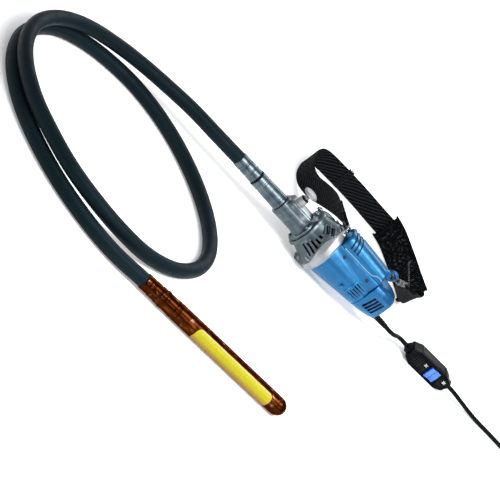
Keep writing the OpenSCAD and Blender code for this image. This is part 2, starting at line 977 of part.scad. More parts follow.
module strap_webbing() {
    color("#16181a")
    swept_band(strap_route, 0, len(strap_route) - 1, strap_steps, webbing_w, webbing_t);
}
module shoulder_pad() {
    color("#101214")
    polyhedron(
        points = [
            for (i = [0 : pad_steps - 1])
            let (s = pad_first + (pad_last - pad_first) * i / (pad_steps - 1))
            let (q = spline(strap_route, s))
            each band_ring([q[0], q[1], max(q[2], pad_lowest_z), q[3]], slope(strap_route, s),
                pad_w, pad_t, webbing_t / 2 + pad_t / 2 + pad_gap)
        ],
        faces = concat(
            wall_faces(pad_steps, 4, 0, true),
            disc_faces(4, 0, false),
            disc_faces(4, (pad_steps - 1) * 4, true)
        )
    );
}

module strap_slider() {
    color("#202224")
    translate([52, 403.4, 27.5])
    difference() {
        translate([-6, -4, -27.5])
        cube([12, 8, 57]);
        translate([-7, -2.2, -28])
        cube([14, 4.4, 55]);
    }
}
module front_ring() {
    color("#202224")
    translate([bracket_x, ring_r, bail_z])
    rotate_extrude()
    translate([ring_r, 0])
    circle(r = ring_wire_r);
}

// Rear snap hook: a ring through the lug, with a gap that a sprung gate closes
module snap_hook() {
    color("dimgray") {
        translate(hook_pos)
        difference() {
            rotate_extrude()
            translate([hook_r, 0])
            circle(r = hook_wire_r);
            translate([0, 0, -hook_r])
            linear_extrude(2 * hook_r)
            polygon([[0, 0], 2 * on_circle(hook_r, gate_start + 15),
                2 * on_circle(hook_r, gate_end - 8)]);
        }
        translate(hook_pos)
        rotate([0, 0, 38]) {
            translate([hook_r, -5.5, -6])
            cube([20, 11, 9]);
            translate([hook_r + 19, -3, -4.5])
            cube([7, 6, 6]);
        }
    }
}
gate_dir = on_circle(hook_r, gate_end) - on_circle(hook_r, gate_start);
module snap_gate() {
    color("silver")
    translate(hook_pos + concat(on_circle(hook_r, gate_start), 0)) {
        rotate([0, 0, atan2(gate_dir[1], gate_dir[0])])
        rotate([0, 90, 0])
        cylinder(h = norm(gate_dir), r = gate_r);
        translate([0, 0, -2.2])
        cylinder(h = 4.4, r = 2.2);
    }
}

// ---------------------------------------------------------------- mains lead, switch, plug

module lead_grommet() {
    color("#15181a")
    translate([0, 0, outlet_z])
    rotate([90, 0, 90])
    rotate_extrude()
    polygon([
        [0, tail_x - 3], [grommet_r, tail_x - 3], [grommet_r, 200], [6, 203], [6.4, 205],
        [5.8, 208], [6.2, 210], [5.6, 213], [6, 215], [5.4, 218], [5.8, 220], [5.2, 223],
        [5.4, outlet_x + grommet_l], [0, outlet_x + grommet_l]
    ]);
}
module mains_lead() {
    color("#15181a")
    swept_rod(lead_route, [1, 0, 0], switch_end(1) - switch_end(-1), lead_rings,
        lead_r, lead_sides);
}
module supply_lead() {
    color("#15181a")
    swept_rod(supply_route, switch_end(1) - switch_end(-1), [1, 0, 0], supply_rings,
        lead_r, lead_sides);
}
module lead_coil() {
    color("#15181a")
    translate(coil_pos)
    rotate_extrude()
    translate([coil_in_r, 0])
    square([coil_out_r - coil_in_r, coil_h]);
}
module coil_tail() {
    color("#15181a")
    swept_rod(tail_route, [0, 1, 0], [0, 1, 0], tail_rings, lead_r, lead_sides);
}
module coil_tie() {
    color("#202224")
    translate([coil_pos[0] - 6, coil_pos[1] + coil_in_r - 2.6, 0])
    difference() {
        cube([12, coil_out_r - coil_in_r + 4.6, coil_h + 2]);
        translate([-1, 1.7, -1])
        cube([14, coil_out_r - coil_in_r + 1.2, coil_h + 1.3]);
    }
}

// Outline of the switch in its XZ plane, cut down by m all round
module switch_outline(m) {
    polygon([
        for (s = [[1, -1], [1, 1], [-1, 1], [-1, -1]])
        let (flat = [s[0] * switch_flat_l / 2, s[1] * (switch_h / 2 - m)])
        let (end = [s[0] * (switch_body_l / 2 - m), s[1] * (switch_end_h / 2 - m)])
        each s[0] * s[1] < 0 ? [flat, end] : [end, flat]
    ]);
}
module switch_shell(low) {
    difference() {
        union() {
            difference() {
                translate([0, switch_d / 2, 0])
                rotate([90, 0, 0])
                linear_extrude(switch_d)
                switch_outline(0);
                translate([0, switch_d / 2 - switch_wall, 0])
                rotate([90, 0, 0])
                linear_extrude(switch_d - 2 * switch_wall)
                switch_outline(switch_wall);
            }
            // lug that carries one pin of the rocker
            translate([rocker_x - 3, 1 - switch_d / 2, low ? -17.5 : 13.9])
            cube([6, 6, 3.6]);
        }
        translate([rocker_x, rocker_y, -rocker_pin_l / 2 - 0.2])
        cylinder(h = rocker_pin_l + 0.4, r = rocker_pin_r + 0.1);
        translate([-switch_l, -switch_l, low ? 0 : -switch_l])
        cube([2 * switch_l, 2 * switch_l, switch_l]);
        translate([rocker_x - rocker_w / 2 - 1, -switch_d / 2 - 1, -rocker_h / 2 - 0.4])
        cube([rocker_w + 2, switch_wall + 2, rocker_h + 0.8]);
        for (s = [-1, 1])
        translate([s * (switch_body_l / 2 - 6), 0, 0])
        rotate([0, 90, 0])
        cylinder(h = 14, r = 7.05, center = true);
    }
}
module switch_lower_shell() {
    color("#191c1f")
    in_switch()
    switch_shell(true);
}
module switch_upper_shell() {
    color("#191c1f")
    in_switch()
    switch_shell(false);
}
module switch_rocker() {
    color("dodgerblue")
    in_switch()
    translate([rocker_x, rocker_y, 0])
    rotate([0, 0, rocker_tilt]) {
        translate([0, 0, -rocker_h / 2])
        linear_extrude(rocker_h)
        polygon([
            [-rocker_w / 2, -5.4], [-0.6, -4.4], [-0.6, -2], [0.6, -2], [0.6, -4.4],
            [rocker_w / 2, -5.4], [rocker_w / 2 - 1, 0], [3, 3], [-3, 3], [1 - rocker_w / 2, 0]
        ]);
        cylinder(h = rocker_pin_l, r = rocker_pin_r, center = true);
    }
}
module switch_glands() {
    color("#121416")
    in_switch()
    for (s = [-1, 1])
    rotate([0, 90, s > 0 ? 0 : 180]) {
        translate([0, 0, switch_body_l / 2 - 10])
        cylinder(h = 10, r = 7);
        translate([0, 0, switch_body_l / 2])
        cylinder(h = 5, r = 12);
        translate([0, 0, switch_body_l / 2 + 5 - eps])
        cylinder(h = switch_l / 2 - switch_body_l / 2 - 5 + eps, r1 = 9, r2 = 7);
    }
}
module switch_contacts() {
    color("goldenrod")
    in_switch()
    translate([rocker_x - 14, -4, -9])
    cube([28, 14, 18]);
}
module plug_body() {
    color("#15181a")
    translate(plug_pos)
    rotate([-90, 0, 0]) {
        hull() {
            translate([0, 0, 3])
            cylinder(h = 8, r = 8, $fn = blend_fn);
            for (s = [-1, 1])
            translate([s * (plug_w / 2 - 11), 0, 22])
            cylinder(h = plug_l - 22, r = 11, $fn = blend_fn);
        }
        cylinder(h = 6, r = 7);
        for (s = [-1, 1])
        translate([s * (plug_w / 2 - 13), 0, 24])
        cylinder(h = plug_l - 24, r = 13);
    }
}
module plug_pins() {
    color("gainsboro")
    for (s = [-1, 1])
    translate(plug_pos + [s * pin_spacing / 2, plug_l, 0])
    rotate([-90, 0, 0]) {
        cylinder(h = pin_l - 1.5, r = plug_pin_r);
        translate([0, 0, pin_l - 1.5])
        cylinder(h = 1.5, r1 = plug_pin_r, r2 = plug_pin_r - 1);
    }
}

fan_housing();
drive_neck();
neck_screws();
housing_bolts();
strap_bracket();
lock_boss();
lock_knob();
lock_pin();
lock_spring();
hose_coupler();
hose_ferrule();
coupler_seal();
drive_hose();
flex_core();
motor_housing();
top_cover();
rear_cover();
cover_screws();
bearing_bridge();
front_bearing();
rear_bearing();
armature_shaft();
armature_core();
commutator();
cooling_fan();
drive_dog();
stator_core();
field_coils();
air_baffle();
brush_holders();
carbon_brushes();
control_module();
poker_adapter();
poker_sleeve();
poker_tube();
poker_tip();
poker_label();
poker_bearings();
eccentric_weight();
poker_seals();
strap_webbing();
shoulder_pad();
strap_slider();
front_ring();
snap_hook();
snap_gate();
lead_grommet();
mains_lead();
supply_lead();
lead_coil();
coil_tail();
coil_tie();
switch_lower_shell();
switch_upper_shell();
switch_rocker();
switch_glands();
switch_contacts();
plug_body();
plug_pins();
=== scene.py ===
"""Looks of a portable electric concrete vibrator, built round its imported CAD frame.
Lengths are in millimetres until a mesh is made, and in the CAD frame: +Z up, floor at z = 0."""
import math

import bmesh
import bpy
import numpy as np
from mathutils import Matrix, Vector


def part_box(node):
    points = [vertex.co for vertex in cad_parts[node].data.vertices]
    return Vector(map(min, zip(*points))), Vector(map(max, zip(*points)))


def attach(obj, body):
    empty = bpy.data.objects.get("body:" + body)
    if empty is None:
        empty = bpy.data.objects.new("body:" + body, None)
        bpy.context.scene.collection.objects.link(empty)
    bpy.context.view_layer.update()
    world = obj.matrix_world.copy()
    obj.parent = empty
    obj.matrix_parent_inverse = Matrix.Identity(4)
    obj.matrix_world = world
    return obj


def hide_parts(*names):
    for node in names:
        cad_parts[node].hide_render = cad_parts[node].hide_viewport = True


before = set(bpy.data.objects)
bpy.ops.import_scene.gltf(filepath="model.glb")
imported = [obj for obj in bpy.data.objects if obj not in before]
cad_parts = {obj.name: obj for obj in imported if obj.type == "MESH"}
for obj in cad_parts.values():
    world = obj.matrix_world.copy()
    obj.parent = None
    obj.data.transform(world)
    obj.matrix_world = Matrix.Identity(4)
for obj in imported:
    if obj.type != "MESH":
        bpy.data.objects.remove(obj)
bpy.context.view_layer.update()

MM = 0.001
MOTOR = "motor_unit"
AXIS_Z = 54


# ------------ curves and outlines

def spline_points(route, per_span):
    """Points on the Catmull-Rom curve that the CAD solids follow."""
    knots = [np.array(p, float) for p in route]
    knots = [2 * knots[0] - knots[1], *knots, 2 * knots[-1] - knots[-2]]
    points = []
    for a, b, c, d in zip(knots, knots[1:], knots[2:], knots[3:]):
        for u in np.arange(per_span) / per_span:
            points.append(0.5 * (2 * b + (c - a) * u + (2 * a - 5 * b + 4 * c - d) * u ** 2
                                 + (3 * b - a - 3 * c + d) * u ** 3))
    return np.array([*points, knots[-2]])


def arc_lengths(points):
    steps = np.linalg.norm(np.diff(points[:, :3], axis=0), axis=1)
    return np.concatenate([[0], np.cumsum(steps)])


def evenly(points, step):
    """The same polyline with points a nearly equal distance apart."""
    along = arc_lengths(points)
    marks = np.linspace(0, along[-1], max(2, round(along[-1] / step) + 1))
    return np.stack([np.interp(marks, along, points[:, k]) for k in range(points.shape[1])], 1)


def unit(v):
    return v / np.linalg.norm(v)


def rounded_outline(half_w, z_low, z_high, r_low, r_high, per_corner=8):
    """Closed outline in YZ with one corner radius above and another below."""
    corners = [
        (half_w - r_high, z_high - r_high, r_high, 0), (r_high - half_w, z_high - r_high, r_high, 90),
        (r_low - half_w, z_low + r_low, r_low, 180), (half_w - r_low, z_low + r_low, r_low, 270)]
    turns = np.radians(np.linspace(0, 90, per_corner + 1))
    return [(y + r * math.cos(t + math.radians(start)), z + r * math.sin(t + math.radians(start)))
            for y, z, r, start in corners for t in turns]


def softened(profile, radius, steps=4):
    """A polyline with its inner corners rounded, at most to a third of the shorter side."""
    pts = [np.array(p, float) for p in profile]
    out = [pts[0]]
    for before, here, after in zip(pts, pts[1:], pts[2:]):
        to_a, to_b = before - here, after - here
        reach = min(radius, np.linalg.norm(to_a) / 3, np.linalg.norm(to_b) / 3)
        a, b = here + unit(to_a) * reach, here + unit(to_b) * reach
        for t in np.linspace(0, 1, steps + 1):
            out.append((1 - t) ** 2 * a + 2 * t * (1 - t) * here + t ** 2 * b)
    return [*out, pts[-1]]


def inset(outline, amount):
    """A convex outline moved inwards."""
    pts = np.array(outline, float)
    ahead, behind = np.roll(pts, -1, 0) - pts, pts - np.roll(pts, 1, 0)
    moved = []
    for p, e0, e1 in zip(pts, behind, ahead):
        n0, n1 = np.array([-e0[1], e0[0]]), np.array([-e1[1], e1[0]])
        n = unit(unit(n0) + unit(n1))
        moved.append(p + n * amount / max(0.5, float(n @ unit(n0))))
    return np.array(moved)

def rounded(outline, radius, steps):
    """A closed outline with all its corners but the first softened."""
    return softened([*outline, outline[0]], radius, steps)[:-1]


def anticlockwise(outline):
    x, y = np.array(outline, float).T
    area = np.sum(x * np.roll(y, -1) - y * np.roll(x, -1)) / 2
    return outline if area > 0 else outline[::-1]


# ------------ meshes as (points, faces)

def at(x, y, z):
    return Matrix.Translation((x, y, z))


def spin(degrees, axis):
    return Matrix.Rotation(math.radians(degrees), 4, axis)


def about_motor(x=0):
    return at(x, 0, AXIS_Z)


def upright(x):
    """Turns what lies along X to stand on the floor at that x."""
    return at(x, 0, 0) @ spin(-90, "Y")


def crosswise(depth):
    """Turns an outline in XY to stand in XZ, with its depth centred on the XZ plane."""
    return at(0, depth / 2, 0) @ spin(90, "X")


def around(count):
    """The angles of a full turn."""
    return np.linspace(0, 2 * math.pi, count, endpoint=False)


def moved(shape, matrix):
    points, faces = shape
    return np.array([matrix @ Vector(p) for p in points]), faces


def joined(*shapes):
    points, faces, base = [], [], 0
    for p, f in shapes:
        points.append(np.array(p, float))
        faces += [tuple(i + base for i in face) for face in f]
        base += len(p)
    return np.concatenate(points), faces


def loft(rings, closed=False):
    """Faces between rings of equally many points, with end caps or joined end to end."""
    rings = np.array(rings, float)
    n, m = rings.shape[:2]
    faces = []
    for i in range(n if closed else n - 1):
        a, b = i * m, (i + 1) % n * m
        faces += [(a + k, a + (k + 1) % m, b + (k + 1) % m, b + k) for k in range(m)]
    if not closed:
        faces += [tuple(range(m - 1, -1, -1)), tuple(range((n - 1) * m, n * m))]
    return rings.reshape(-1, 3), faces


def lathe(profile, segments, matrix, swell=None, closed=False):
    """Turns a profile of (distance along X, radius) about X. swell(x, angle) adds to the radius."""
    rings = []
    for x, r in profile:
        grown = [(r + swell(x, a) if swell else r, a) for a in around(segments)]
        rings.append([(x, s * math.cos(a), s * math.sin(a)) for s, a in grown])
    return moved(loft(rings, closed), matrix)


def turned(profile, soft, segments, matrix, swell=None):
    """A lathed solid whose corners are softened first."""
    return lathe(softened(profile, soft), segments, matrix, swell)


def prism(outline, depth, matrix, edge, steps=3):
    """A convex outline in XY pushed along Z, with rounded edges at both ends."""
    outline = anticlockwise(outline)
    turns = np.linspace(0, math.pi / 2, steps + 1)
    rim = [(edge * (1 - math.sin(t)), edge * (1 - math.cos(t))) for t in turns]
    rings = []
    for margin, z in [*rim, *[(m, depth - h) for m, h in reversed(rim)]]:
        line = inset(outline, margin) if margin > 1e-9 else outline
        rings.append([(x, y, z) for x, y in line])
    return moved(loft(rings), matrix)


def block(centre, size, edge, corner, turn=(0, 0, 0)):
    """A box with rounded edges and corners."""
    w, d, h = size
    matrix = at(*centre)
    for angle, axis in zip(turn, "XYZ"):
        matrix = matrix @ spin(angle, axis)
    corner = min(corner, w / 2.1, d / 2.1)
    outline = rounded_outline(w / 2, -d / 2, d / 2, corner, corner, 4)
    return prism(outline, h, matrix @ at(0, 0, -h / 2), edge)


def ring_tube(path, radius, sides=16, closed=False):
    """A round bar along a path, carried without twist."""
    path = np.array(path, float)
    ahead, behind = np.roll(path, -1, 0), np.roll(path, 1, 0)
    if not closed:
        ahead[-1], behind[0] = path[-1], path[0]
    tangents = [unit(a - b) for a, b in zip(ahead, behind)]
    nearly_up = (0.03, 0.02, 1)
    side = unit(np.cross(tangents[0], nearly_up))
    rings = []
    for p, t in zip(path, tangents):
        side = unit(side - (side @ t) * t)
        up = np.cross(t, side)
        rings.append([p + radius * (math.cos(a) * side + math.sin(a) * up) for a in around(sides)])
    return loft(rings, closed)


def circle_path(centre, radius, normal, count=64, start=0, end=360):
    """Points of a circle or, with start and end, of an arc."""
    turns = np.radians(np.linspace(start, end, count, endpoint=end - start != 360))
    axes = {"x": (1, 2), "y": (0, 2), "z": (0, 1)}[normal]
    points = np.tile(np.array(centre, float), (count, 1))
    points[:, axes[0]] += radius * np.cos(turns)
    points[:, axes[1]] += radius * np.sin(turns)
    return points


# ------------ materials

# Scale at which a wave texture has one band to a unit
WAVE_UNIT = 0.314159


def feed(socket, value):
    """Links another node's output to a socket, or sets the socket to a number or a colour."""
    if isinstance(value, bpy.types.NodeSocket):
        socket.id_data.links.new(value, socket)
    elif socket.type == "RGBA":
        socket.default_value = (*value, 1)
    else:
        socket.default_value = value


class Surface:
    """A Principled material with its colour, roughness and relief made by nodes."""

    def __init__(self, name, **constants):
        self.material = bpy.data.materials.new(name)
        self.material.use_nodes = True
        self.tree = self.material.node_tree
        self.shader = self.tree.nodes["Principled BSDF"].inputs
        for socket, value in constants.items():
            feed(self.shader[socket.replace("_", " ")], value)
        self.coords = self.node("TexCoord").outputs["Object"]
        self.normal = None

    def node(self, kind, inputs=(), **settings):
        """A node with its settings. inputs gives a number, a colour or an output for each socket."""
        made = self.tree.nodes.new("ShaderNode" + kind)
        for key, value in settings.items():
            setattr(made, key, value)
        for socket, value in dict(inputs).items():
            feed(made.inputs[socket], value)
        return made

    def uv(self):
        return self.node("UVMap", uv_map="along").outputs["UV"]

    def mapped(self, scale, coords):
        scale = scale if isinstance(scale, tuple) else (scale,) * 3
        return self.node("Mapping", {"Vector": coords or self.coords, "Scale": scale}).outputs["Vector"]

    def noise(self, scale, detail=3, rough=0.55, coords=None):
        inputs = {"Vector": self.mapped(scale, coords), "Scale": 1, "Detail": detail, "Roughness": rough}
        return self.node("TexNoise", inputs).outputs["Fac"]

    def cells(self, scale):
        return self.node("TexVoronoi", {"Vector": self.mapped(scale, None), "Scale": 1}).outputs["Distance"]

    def waves(self, scale, direction, distortion, coords=None, across=1):
        """Sine bands: scale is the number of bands in a metre, or in a unit of UV."""
        pitch = scale * WAVE_UNIT
        vector = self.mapped((pitch, pitch * across, pitch), coords)
        inputs = {"Vector": vector, "Scale": 1, "Distortion": distortion}
        return self.node("TexWave", inputs, bands_direction=direction).outputs["Fac"]

    def product(self, a, b):
        return self.node("Math", {0: a, 1: b}, operation="MULTIPLY").outputs[0]

    def mix(self, factor, a, b):
        return self.node("Mix", {0: factor, 6: a, 7: b}, data_type="RGBA").outputs[2]

    def ramp(self, factor, stops):
        """Colour or grey by position: stops are (position, colour or number)."""
        made = self.node("ValToRGB", {0: factor})
        elements = made.color_ramp.elements
        while len(elements) < len(stops):
            elements.new(0.5)
        for element, (position, value) in zip(elements, stops):
            element.position = position
            element.color = (*(value if isinstance(value, tuple) else (value,) * 3), 1)
        return made.outputs[0]

    def spread(self, factor, low, high):
        """From one colour or number to another over the middle of a noise's range."""
        return self.ramp(factor, [(0.3, low), (0.7, high)])

    def worn(self, base, light, amount):
        """Rubbed edges, where the surface curves sharply outwards."""
        edge = self.node("NewGeometry").outputs["Pointiness"]
        rub = self.product(edge, self.spread(self.noise(90), 0.9, 1.1))
        return self.mix(self.ramp(rub, [(0.53, 0.0), (0.6, amount)]), base, light)

    def colour(self, output):
        feed(self.shader["Base Color"], output)
        return self

    def roughness(self, factor, low, high):
        feed(self.shader["Roughness"], self.spread(factor, low, high))
        return self

    def relief(self, height, depth, strength):
        """Adds a bump layer, with its depth in metres."""
        inputs = {"Height": height, "Distance": depth, "Strength": strength}
        if self.normal:
            inputs["Normal"] = self.normal
        self.normal = self.node("Bump", inputs).outputs["Normal"]
        feed(self.shader["Normal"], self.normal)
        return self


def mottled(name, dark, light, spots, rough, *grains, worn=None, **constants):
    """A finish in two mottled colours. spots are the mottle's scale and detail, rough the scale
    and range of its roughness, and grains the scale, detail, depth and strength of each relief."""
    s = Surface(name, **constants)
    base = s.spread(s.noise(*spots), dark, light)
    s.colour(s.worn(base, *worn) if worn else base).roughness(s.noise(rough[0]), *rough[1:])
    for scale, detail, depth, strength in grains:
        s.relief(s.noise(scale, detail), depth, strength)
    return s.material


def turned_metal(name, dark, light, low, high):
    """Bright metal with fine turning marks across its axis."""
    return mottled(name, dark, light, ((60, 9, 9), 4), ((420, 30, 30), low, high),
                   ((1500, 25, 25), 2, 0.00003, 0.6), Metallic=1.0)


def dark_plastic(name, dark, light, low, high, specular):
    return mottled(name, dark, light, (40, 4), (150, low, high), (1500, 2, 0.00005, 0.6),
                   worn=((0.02, 0.023, 0.026), 0.4), Specular_IOR_Level=specular)


def hose_rubber():
    """Dusty rubber with faint cross marks from the wrapping that it was cured in."""
    s = Surface("hose_rubber", Specular_IOR_Level=0.08, Specular_Tint=(0.6, 0.86, 1.0))
    along = s.uv()
    base = s.spread(s.noise((4, 2.2, 1), 4, coords=along), (0.002, 0.0058, 0.0082), (0.0048, 0.0115, 0.0155))
    dust = s.ramp(s.noise(130, 5), [(0.6, 0.0), (0.8, 0.35)])
    strength = s.ramp(s.noise((2.3, 3, 1), 2, coords=along), [(0.42, 0.12), (0.66, 1.0)])
    marks = s.product(s.waves(230, "X", 1.2, along), strength)
    base = s.mix(s.ramp(marks, [(0.35, 0.0), (1.0, 0.55)]), base, (0.016, 0.031, 0.039))
    s.colour(s.mix(dust, base, (0.014, 0.024, 0.029))).roughness(s.noise(60, 4), 0.42, 0.6)
    return s.relief(marks, 0.00035, 0.7).relief(s.noise(800, 2), 0.00008, 0.5).material


def copper_steel():
    """Poker steel under a copper-brown lacquer, drawn lengthwise."""
    s = Surface("copper_brown_steel", Metallic=1.0, Specular_Tint=(0.75, 0.48, 0.38))
    browns = [(0.3, (0.011, 0.0024, 0.0008)), (0.55, (0.05, 0.011, 0.0018)), (0.8, (0.25, 0.07, 0.006))]
    s.colour(s.worn(s.ramp(s.noise((12, 60, 60), 5), browns), (0.5, 0.28, 0.18), 0.6))
    s.roughness(s.noise((20, 200, 200)), 0.16, 0.3)
    return s.relief(s.noise((30, 500, 500), 2), 0.00003, 0.5).material


def label_film():
    """Yellow film with painted shade darkening it towards its lower edge, and scuffs along it."""
    s = Surface("label_film", Specular_IOR_Level=0.25)
    across = s.node("SeparateXYZ", {0: s.uv()}).outputs["Y"]
    # yellows across the film, darkest at its lower edge: painted shade
    yellows_painted_shade = [(0.0, (0.14, 0.05, 0.003)), (0.3, (0.29, 0.15, 0.003)), (0.55, (0.40, 0.34, 0.003)),
               (1.0, (0.44, 0.42, 0.004))]
    scuffs = s.ramp(s.noise((25, 130, 130), 5), [(0.56, 0.0), (0.8, 0.3)])
    s.colour(s.mix(scuffs, s.ramp(across, yellows_painted_shade), (0.42, 0.32, 0.03)))
    return s.roughness(s.noise(120), 0.22, 0.36).relief(s.noise(300, 3), 0.00006, 0.4).material


def woven(name, ribs, dark, light):
    """Webbing: ribs across it, fine yarns along it and slanting gathers with a painted highlight on their
    ridges, from its UV in metres.
    """
    s = Surface(name, Specular_IOR_Level=0.04)
    along = s.uv()
    yarns = s.product(s.waves(ribs, "X", 0.6, along), s.waves(620, "Y", 0.4, along))
    wear = s.ramp(s.noise(60, 5), [(0.5, 0.0), (0.85, 0.5)])
    gathers = s.waves(150, "DIAGONAL", 2.2, along, -1.5)
    base = s.mix(wear, s.ramp(yarns, [(0.05, dark), (0.8, light)]), (0.006, 0.0072, 0.0085))
    # the gathers lighten the colour along their ridges: a painted highlight
    s.colour(s.mix(s.ramp(gathers, [(0.5, 0.0), (0.95, 0.6)]), base, (0.024, 0.029, 0.034)))
    s.roughness(s.noise(300), 0.6, 0.85).relief(gathers, 0.0012, 0.8).relief(yarns, 0.0006, 0.9)
    return s.relief(s.noise(1800, 2), 0.0002, 0.4).material


def pile_fabric():
    """Rough black looped pile with pale flecks."""
    s = Surface("pad_pile", Specular_IOR_Level=0.04)
    loops = s.cells(420)
    flecks = s.ramp(s.noise(150, 6, 0.75), [(0.54, 0.0), (0.66, 1.0)])
    base = s.ramp(loops, [(0.1, (0.003, 0.0037, 0.0044)), (0.6, (0.0006, 0.0008, 0.001))])
    s.colour(s.mix(flecks, base, (0.05, 0.057, 0.064))).roughness(s.noise(300), 0.75, 0.95)
    return s.relief(loops, 0.0012, -0.8).relief(s.noise(500, 4), 0.001, 0.6).material


def banded(name, dark, light, metallic, rough, bands, direction="X"):
    """Stacked sheet, windings and the like: fine bands along one direction."""
    s = Surface(name, Metallic=metallic)
    lines = s.waves(bands, direction, 0.3)
    uneven = s.ramp(s.noise(80), [(0.2, 0.7), (0.8, 1.0)])
    s.colour(s.ramp(s.product(lines, uneven), [(0.1, dark), (0.8, light)]))
    return s.roughness(s.noise(200), rough, rough + 0.15).relief(lines, 0.0001, 0.8).material


CAST = mottled("cast_aluminium", (0.05, 0.07, 0.082), (0.115, 0.145, 0.165), (38, 4), (160, 0.3, 0.46),
               (900, 2, 0.00012, 0.5), (120, 3, 0.0004, 0.25), Metallic=0.85, worn=((0.42, 0.47, 0.5), 0.7))
SMOOTH = mottled("machined_aluminium", (0.27, 0.285, 0.295), (0.38, 0.39, 0.395), (50, 4),
                 (240, 0.36, 0.5), ((700, 700, 60), 3, 0.00004, 0.5), Metallic=0.7)
STEEL = turned_metal("turned_steel", (0.045, 0.066, 0.08), (0.125, 0.158, 0.18), 0.28, 0.4)
ZINC = turned_metal("zinc_casting", (0.09, 0.09, 0.087), (0.19, 0.187, 0.178), 0.34, 0.5)
BLACK_STEEL = turned_metal("black_steel", (0.01, 0.01, 0.012), (0.03, 0.03, 0.034), 0.3, 0.45)
NICKEL = turned_metal("nickel_plate", (0.3, 0.31, 0.31), (0.46, 0.47, 0.46), 0.15, 0.25)
BRASS = turned_metal("brass", (0.45, 0.27, 0.06), (0.7, 0.46, 0.14), 0.25, 0.4)
COPPER_STEEL = copper_steel()
BLUE = mottled("blue_shell", (0.001, 0.052, 0.185), (0.002, 0.096, 0.27), (9, 5), (130, 0.3, 0.4),
               (1300, 2, 0.00005, 0.5), Metallic=0.45, worn=((0.02, 0.28, 0.62), 0.6), Coat_Weight=0.3,
               Coat_Roughness=0.34, Specular_Tint=(0.2, 0.85, 1.0), Specular_IOR_Level=1.0)
# Pale bead colour painted along the top cover's seam as a highlight
SEAM_HIGHLIGHT = mottled("pale_seam_painted_highlight", (0.16, 0.34, 0.5), (0.3, 0.5, 0.66), (70,), (200, 0.35, 0.5),
               (900, 3, 0.00005, 0.4))
# Dark navy painted into grooves, slots and sunk screws as the shade that falls in them
NAVY_PAINTED_SHADE = mottled("navy_painted_recess_shade", (0.0008, 0.006, 0.035), (0.0015, 0.012, 0.062), (60,), (200, 0.45, 0.6),
               (1100, 3, 0.00005, 0.4))
ROCKER_BLUE = mottled("rocker_blue", (0.018, 0.115, 0.80), (0.045, 0.20, 0.98), (60,), (150, 0.18, 0.3),
                      (900, 3, 0.00004, 0.4), Coat_Weight=0.6, Coat_Roughness=0.1,
                      Subsurface_Weight=0.15, Subsurface_Radius=(0.002, 0.004, 0.009))
DARK = dark_plastic("dark_plastic", (0.003, 0.004, 0.005), (0.007, 0.009, 0.011), 0.34, 0.5, 0.15)
SWITCH = dark_plastic("switch_plastic", (0.0004, 0.0007, 0.001), (0.0013, 0.0019, 0.0025), 0.3, 0.44, 0.05)
HOSE = hose_rubber()
LEAD = mottled("lead_rubber", (0.0014, 0.0024, 0.003), (0.0036, 0.0052, 0.0064), (70, 4),
               (120, 0.38, 0.55), (700, 3, 0.0001, 0.5), Specular_IOR_Level=0.06)
LABEL = label_film()
WEBBING = woven("woven_webbing", 330, (0.0006, 0.0008, 0.001), (0.0035, 0.0043, 0.0052))
TAPE = woven("binding_tape", 500, (0.0012, 0.0015, 0.0018), (0.006, 0.007, 0.0082))
PILE = pile_fabric()
COPPER = banded("copper_windings", (0.22, 0.06, 0.02), (0.75, 0.3, 0.12), 0.9, 0.3, 900)
LAMINATION = banded("laminations", (0.05, 0.055, 0.06), (0.24, 0.25, 0.27), 0.8, 0.4, 1200)
CARBON = banded("carbon", (0.008, 0.008, 0.009), (0.03, 0.03, 0.032), 0.2, 0.5, 500, "Z")
BOARD = banded("circuit_board", (0.004, 0.03, 0.01), (0.012, 0.11, 0.04), 0.0, 0.35, 260, "Y")


# ------------ pieces

SHARP = 35


def add_object(name, data):
    made = bpy.data.objects.new(name, data)
    bpy.context.scene.collection.objects.link(made)
    return made


def mesh_of(name, shape, uv=None):
    """A mesh from (points, faces) in millimetres, with all its faces turned outwards."""
    points, faces = shape
    mesh = bpy.data.meshes.new(name)
    mesh.from_pydata([tuple(p) for p in np.array(points) * MM], [], faces)
    if uv is not None:
        layer = mesh.uv_layers.new(name="along")
        layer.data.foreach_set("uv", np.array(uv, np.float32).ravel())
    work = bmesh.new()
    work.from_mesh(mesh)
    bmesh.ops.recalc_face_normals(work, faces=work.faces)
    work.to_mesh(mesh)
    work.free()
    return mesh


def shade_smooth(mesh):
    mesh.polygons.foreach_set("use_smooth", [True] * len(mesh.polygons))


def piece(name, shape, material, stands_for=(), body=MOTOR, sharp=SHARP, uv=None):
    """Makes one named piece from (points, faces) in millimetres and puts it on its body."""
    mesh = mesh_of(name, shape, uv)
    shade_smooth(mesh)
    mesh.set_sharp_from_angle(angle=math.radians(sharp))
    obj = add_object(name, mesh)
    mesh.materials.append(material)
    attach(obj, body)
    if stands_for:
        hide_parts(*stands_for)
    return obj


def sweep_uv(faces, sides, along):
    """UV for a loft: distance along it in metres, and the share of the way round it."""
    uv = []
    for face in faces:
        if len(face) != 4:
            uv += [(0, 0)] * len(face)
            continue
        wraps = {i % sides for i in face} == {0, sides - 1}
        for i in face:
            share = 1.0 if wraps and i % sides == 0 else i % sides / sides
            uv.append((along[i // sides] * MM, share))
    return uv


def applied(obj):
    """Bakes the modifiers of a piece into its mesh."""
    graph = bpy.context.evaluated_depsgraph_get()
    bpy.context.view_layer.update()
    mesh = bpy.data.meshes.new_from_object(obj.evaluated_get(graph))
    obj.modifiers.clear()
    obj.data = mesh


def carve(obj, shape, material):
    """Cuts a shape out of a piece. The cut's walls take the given material."""
    cutter = add_object("cutter", mesh_of("cutter", shape))
    cutter.data.materials.append(material)
    cut = obj.modifiers.new("cut", "BOOLEAN")
    cut.operation, cut.object, cut.solver, cut.material_mode = "DIFFERENCE", cutter, "EXACT", "TRANSFER"
    applied(obj)
    bpy.data.objects.remove(cutter)
    obj.data.set_sharp_from_angle(angle=math.radians(SHARP))


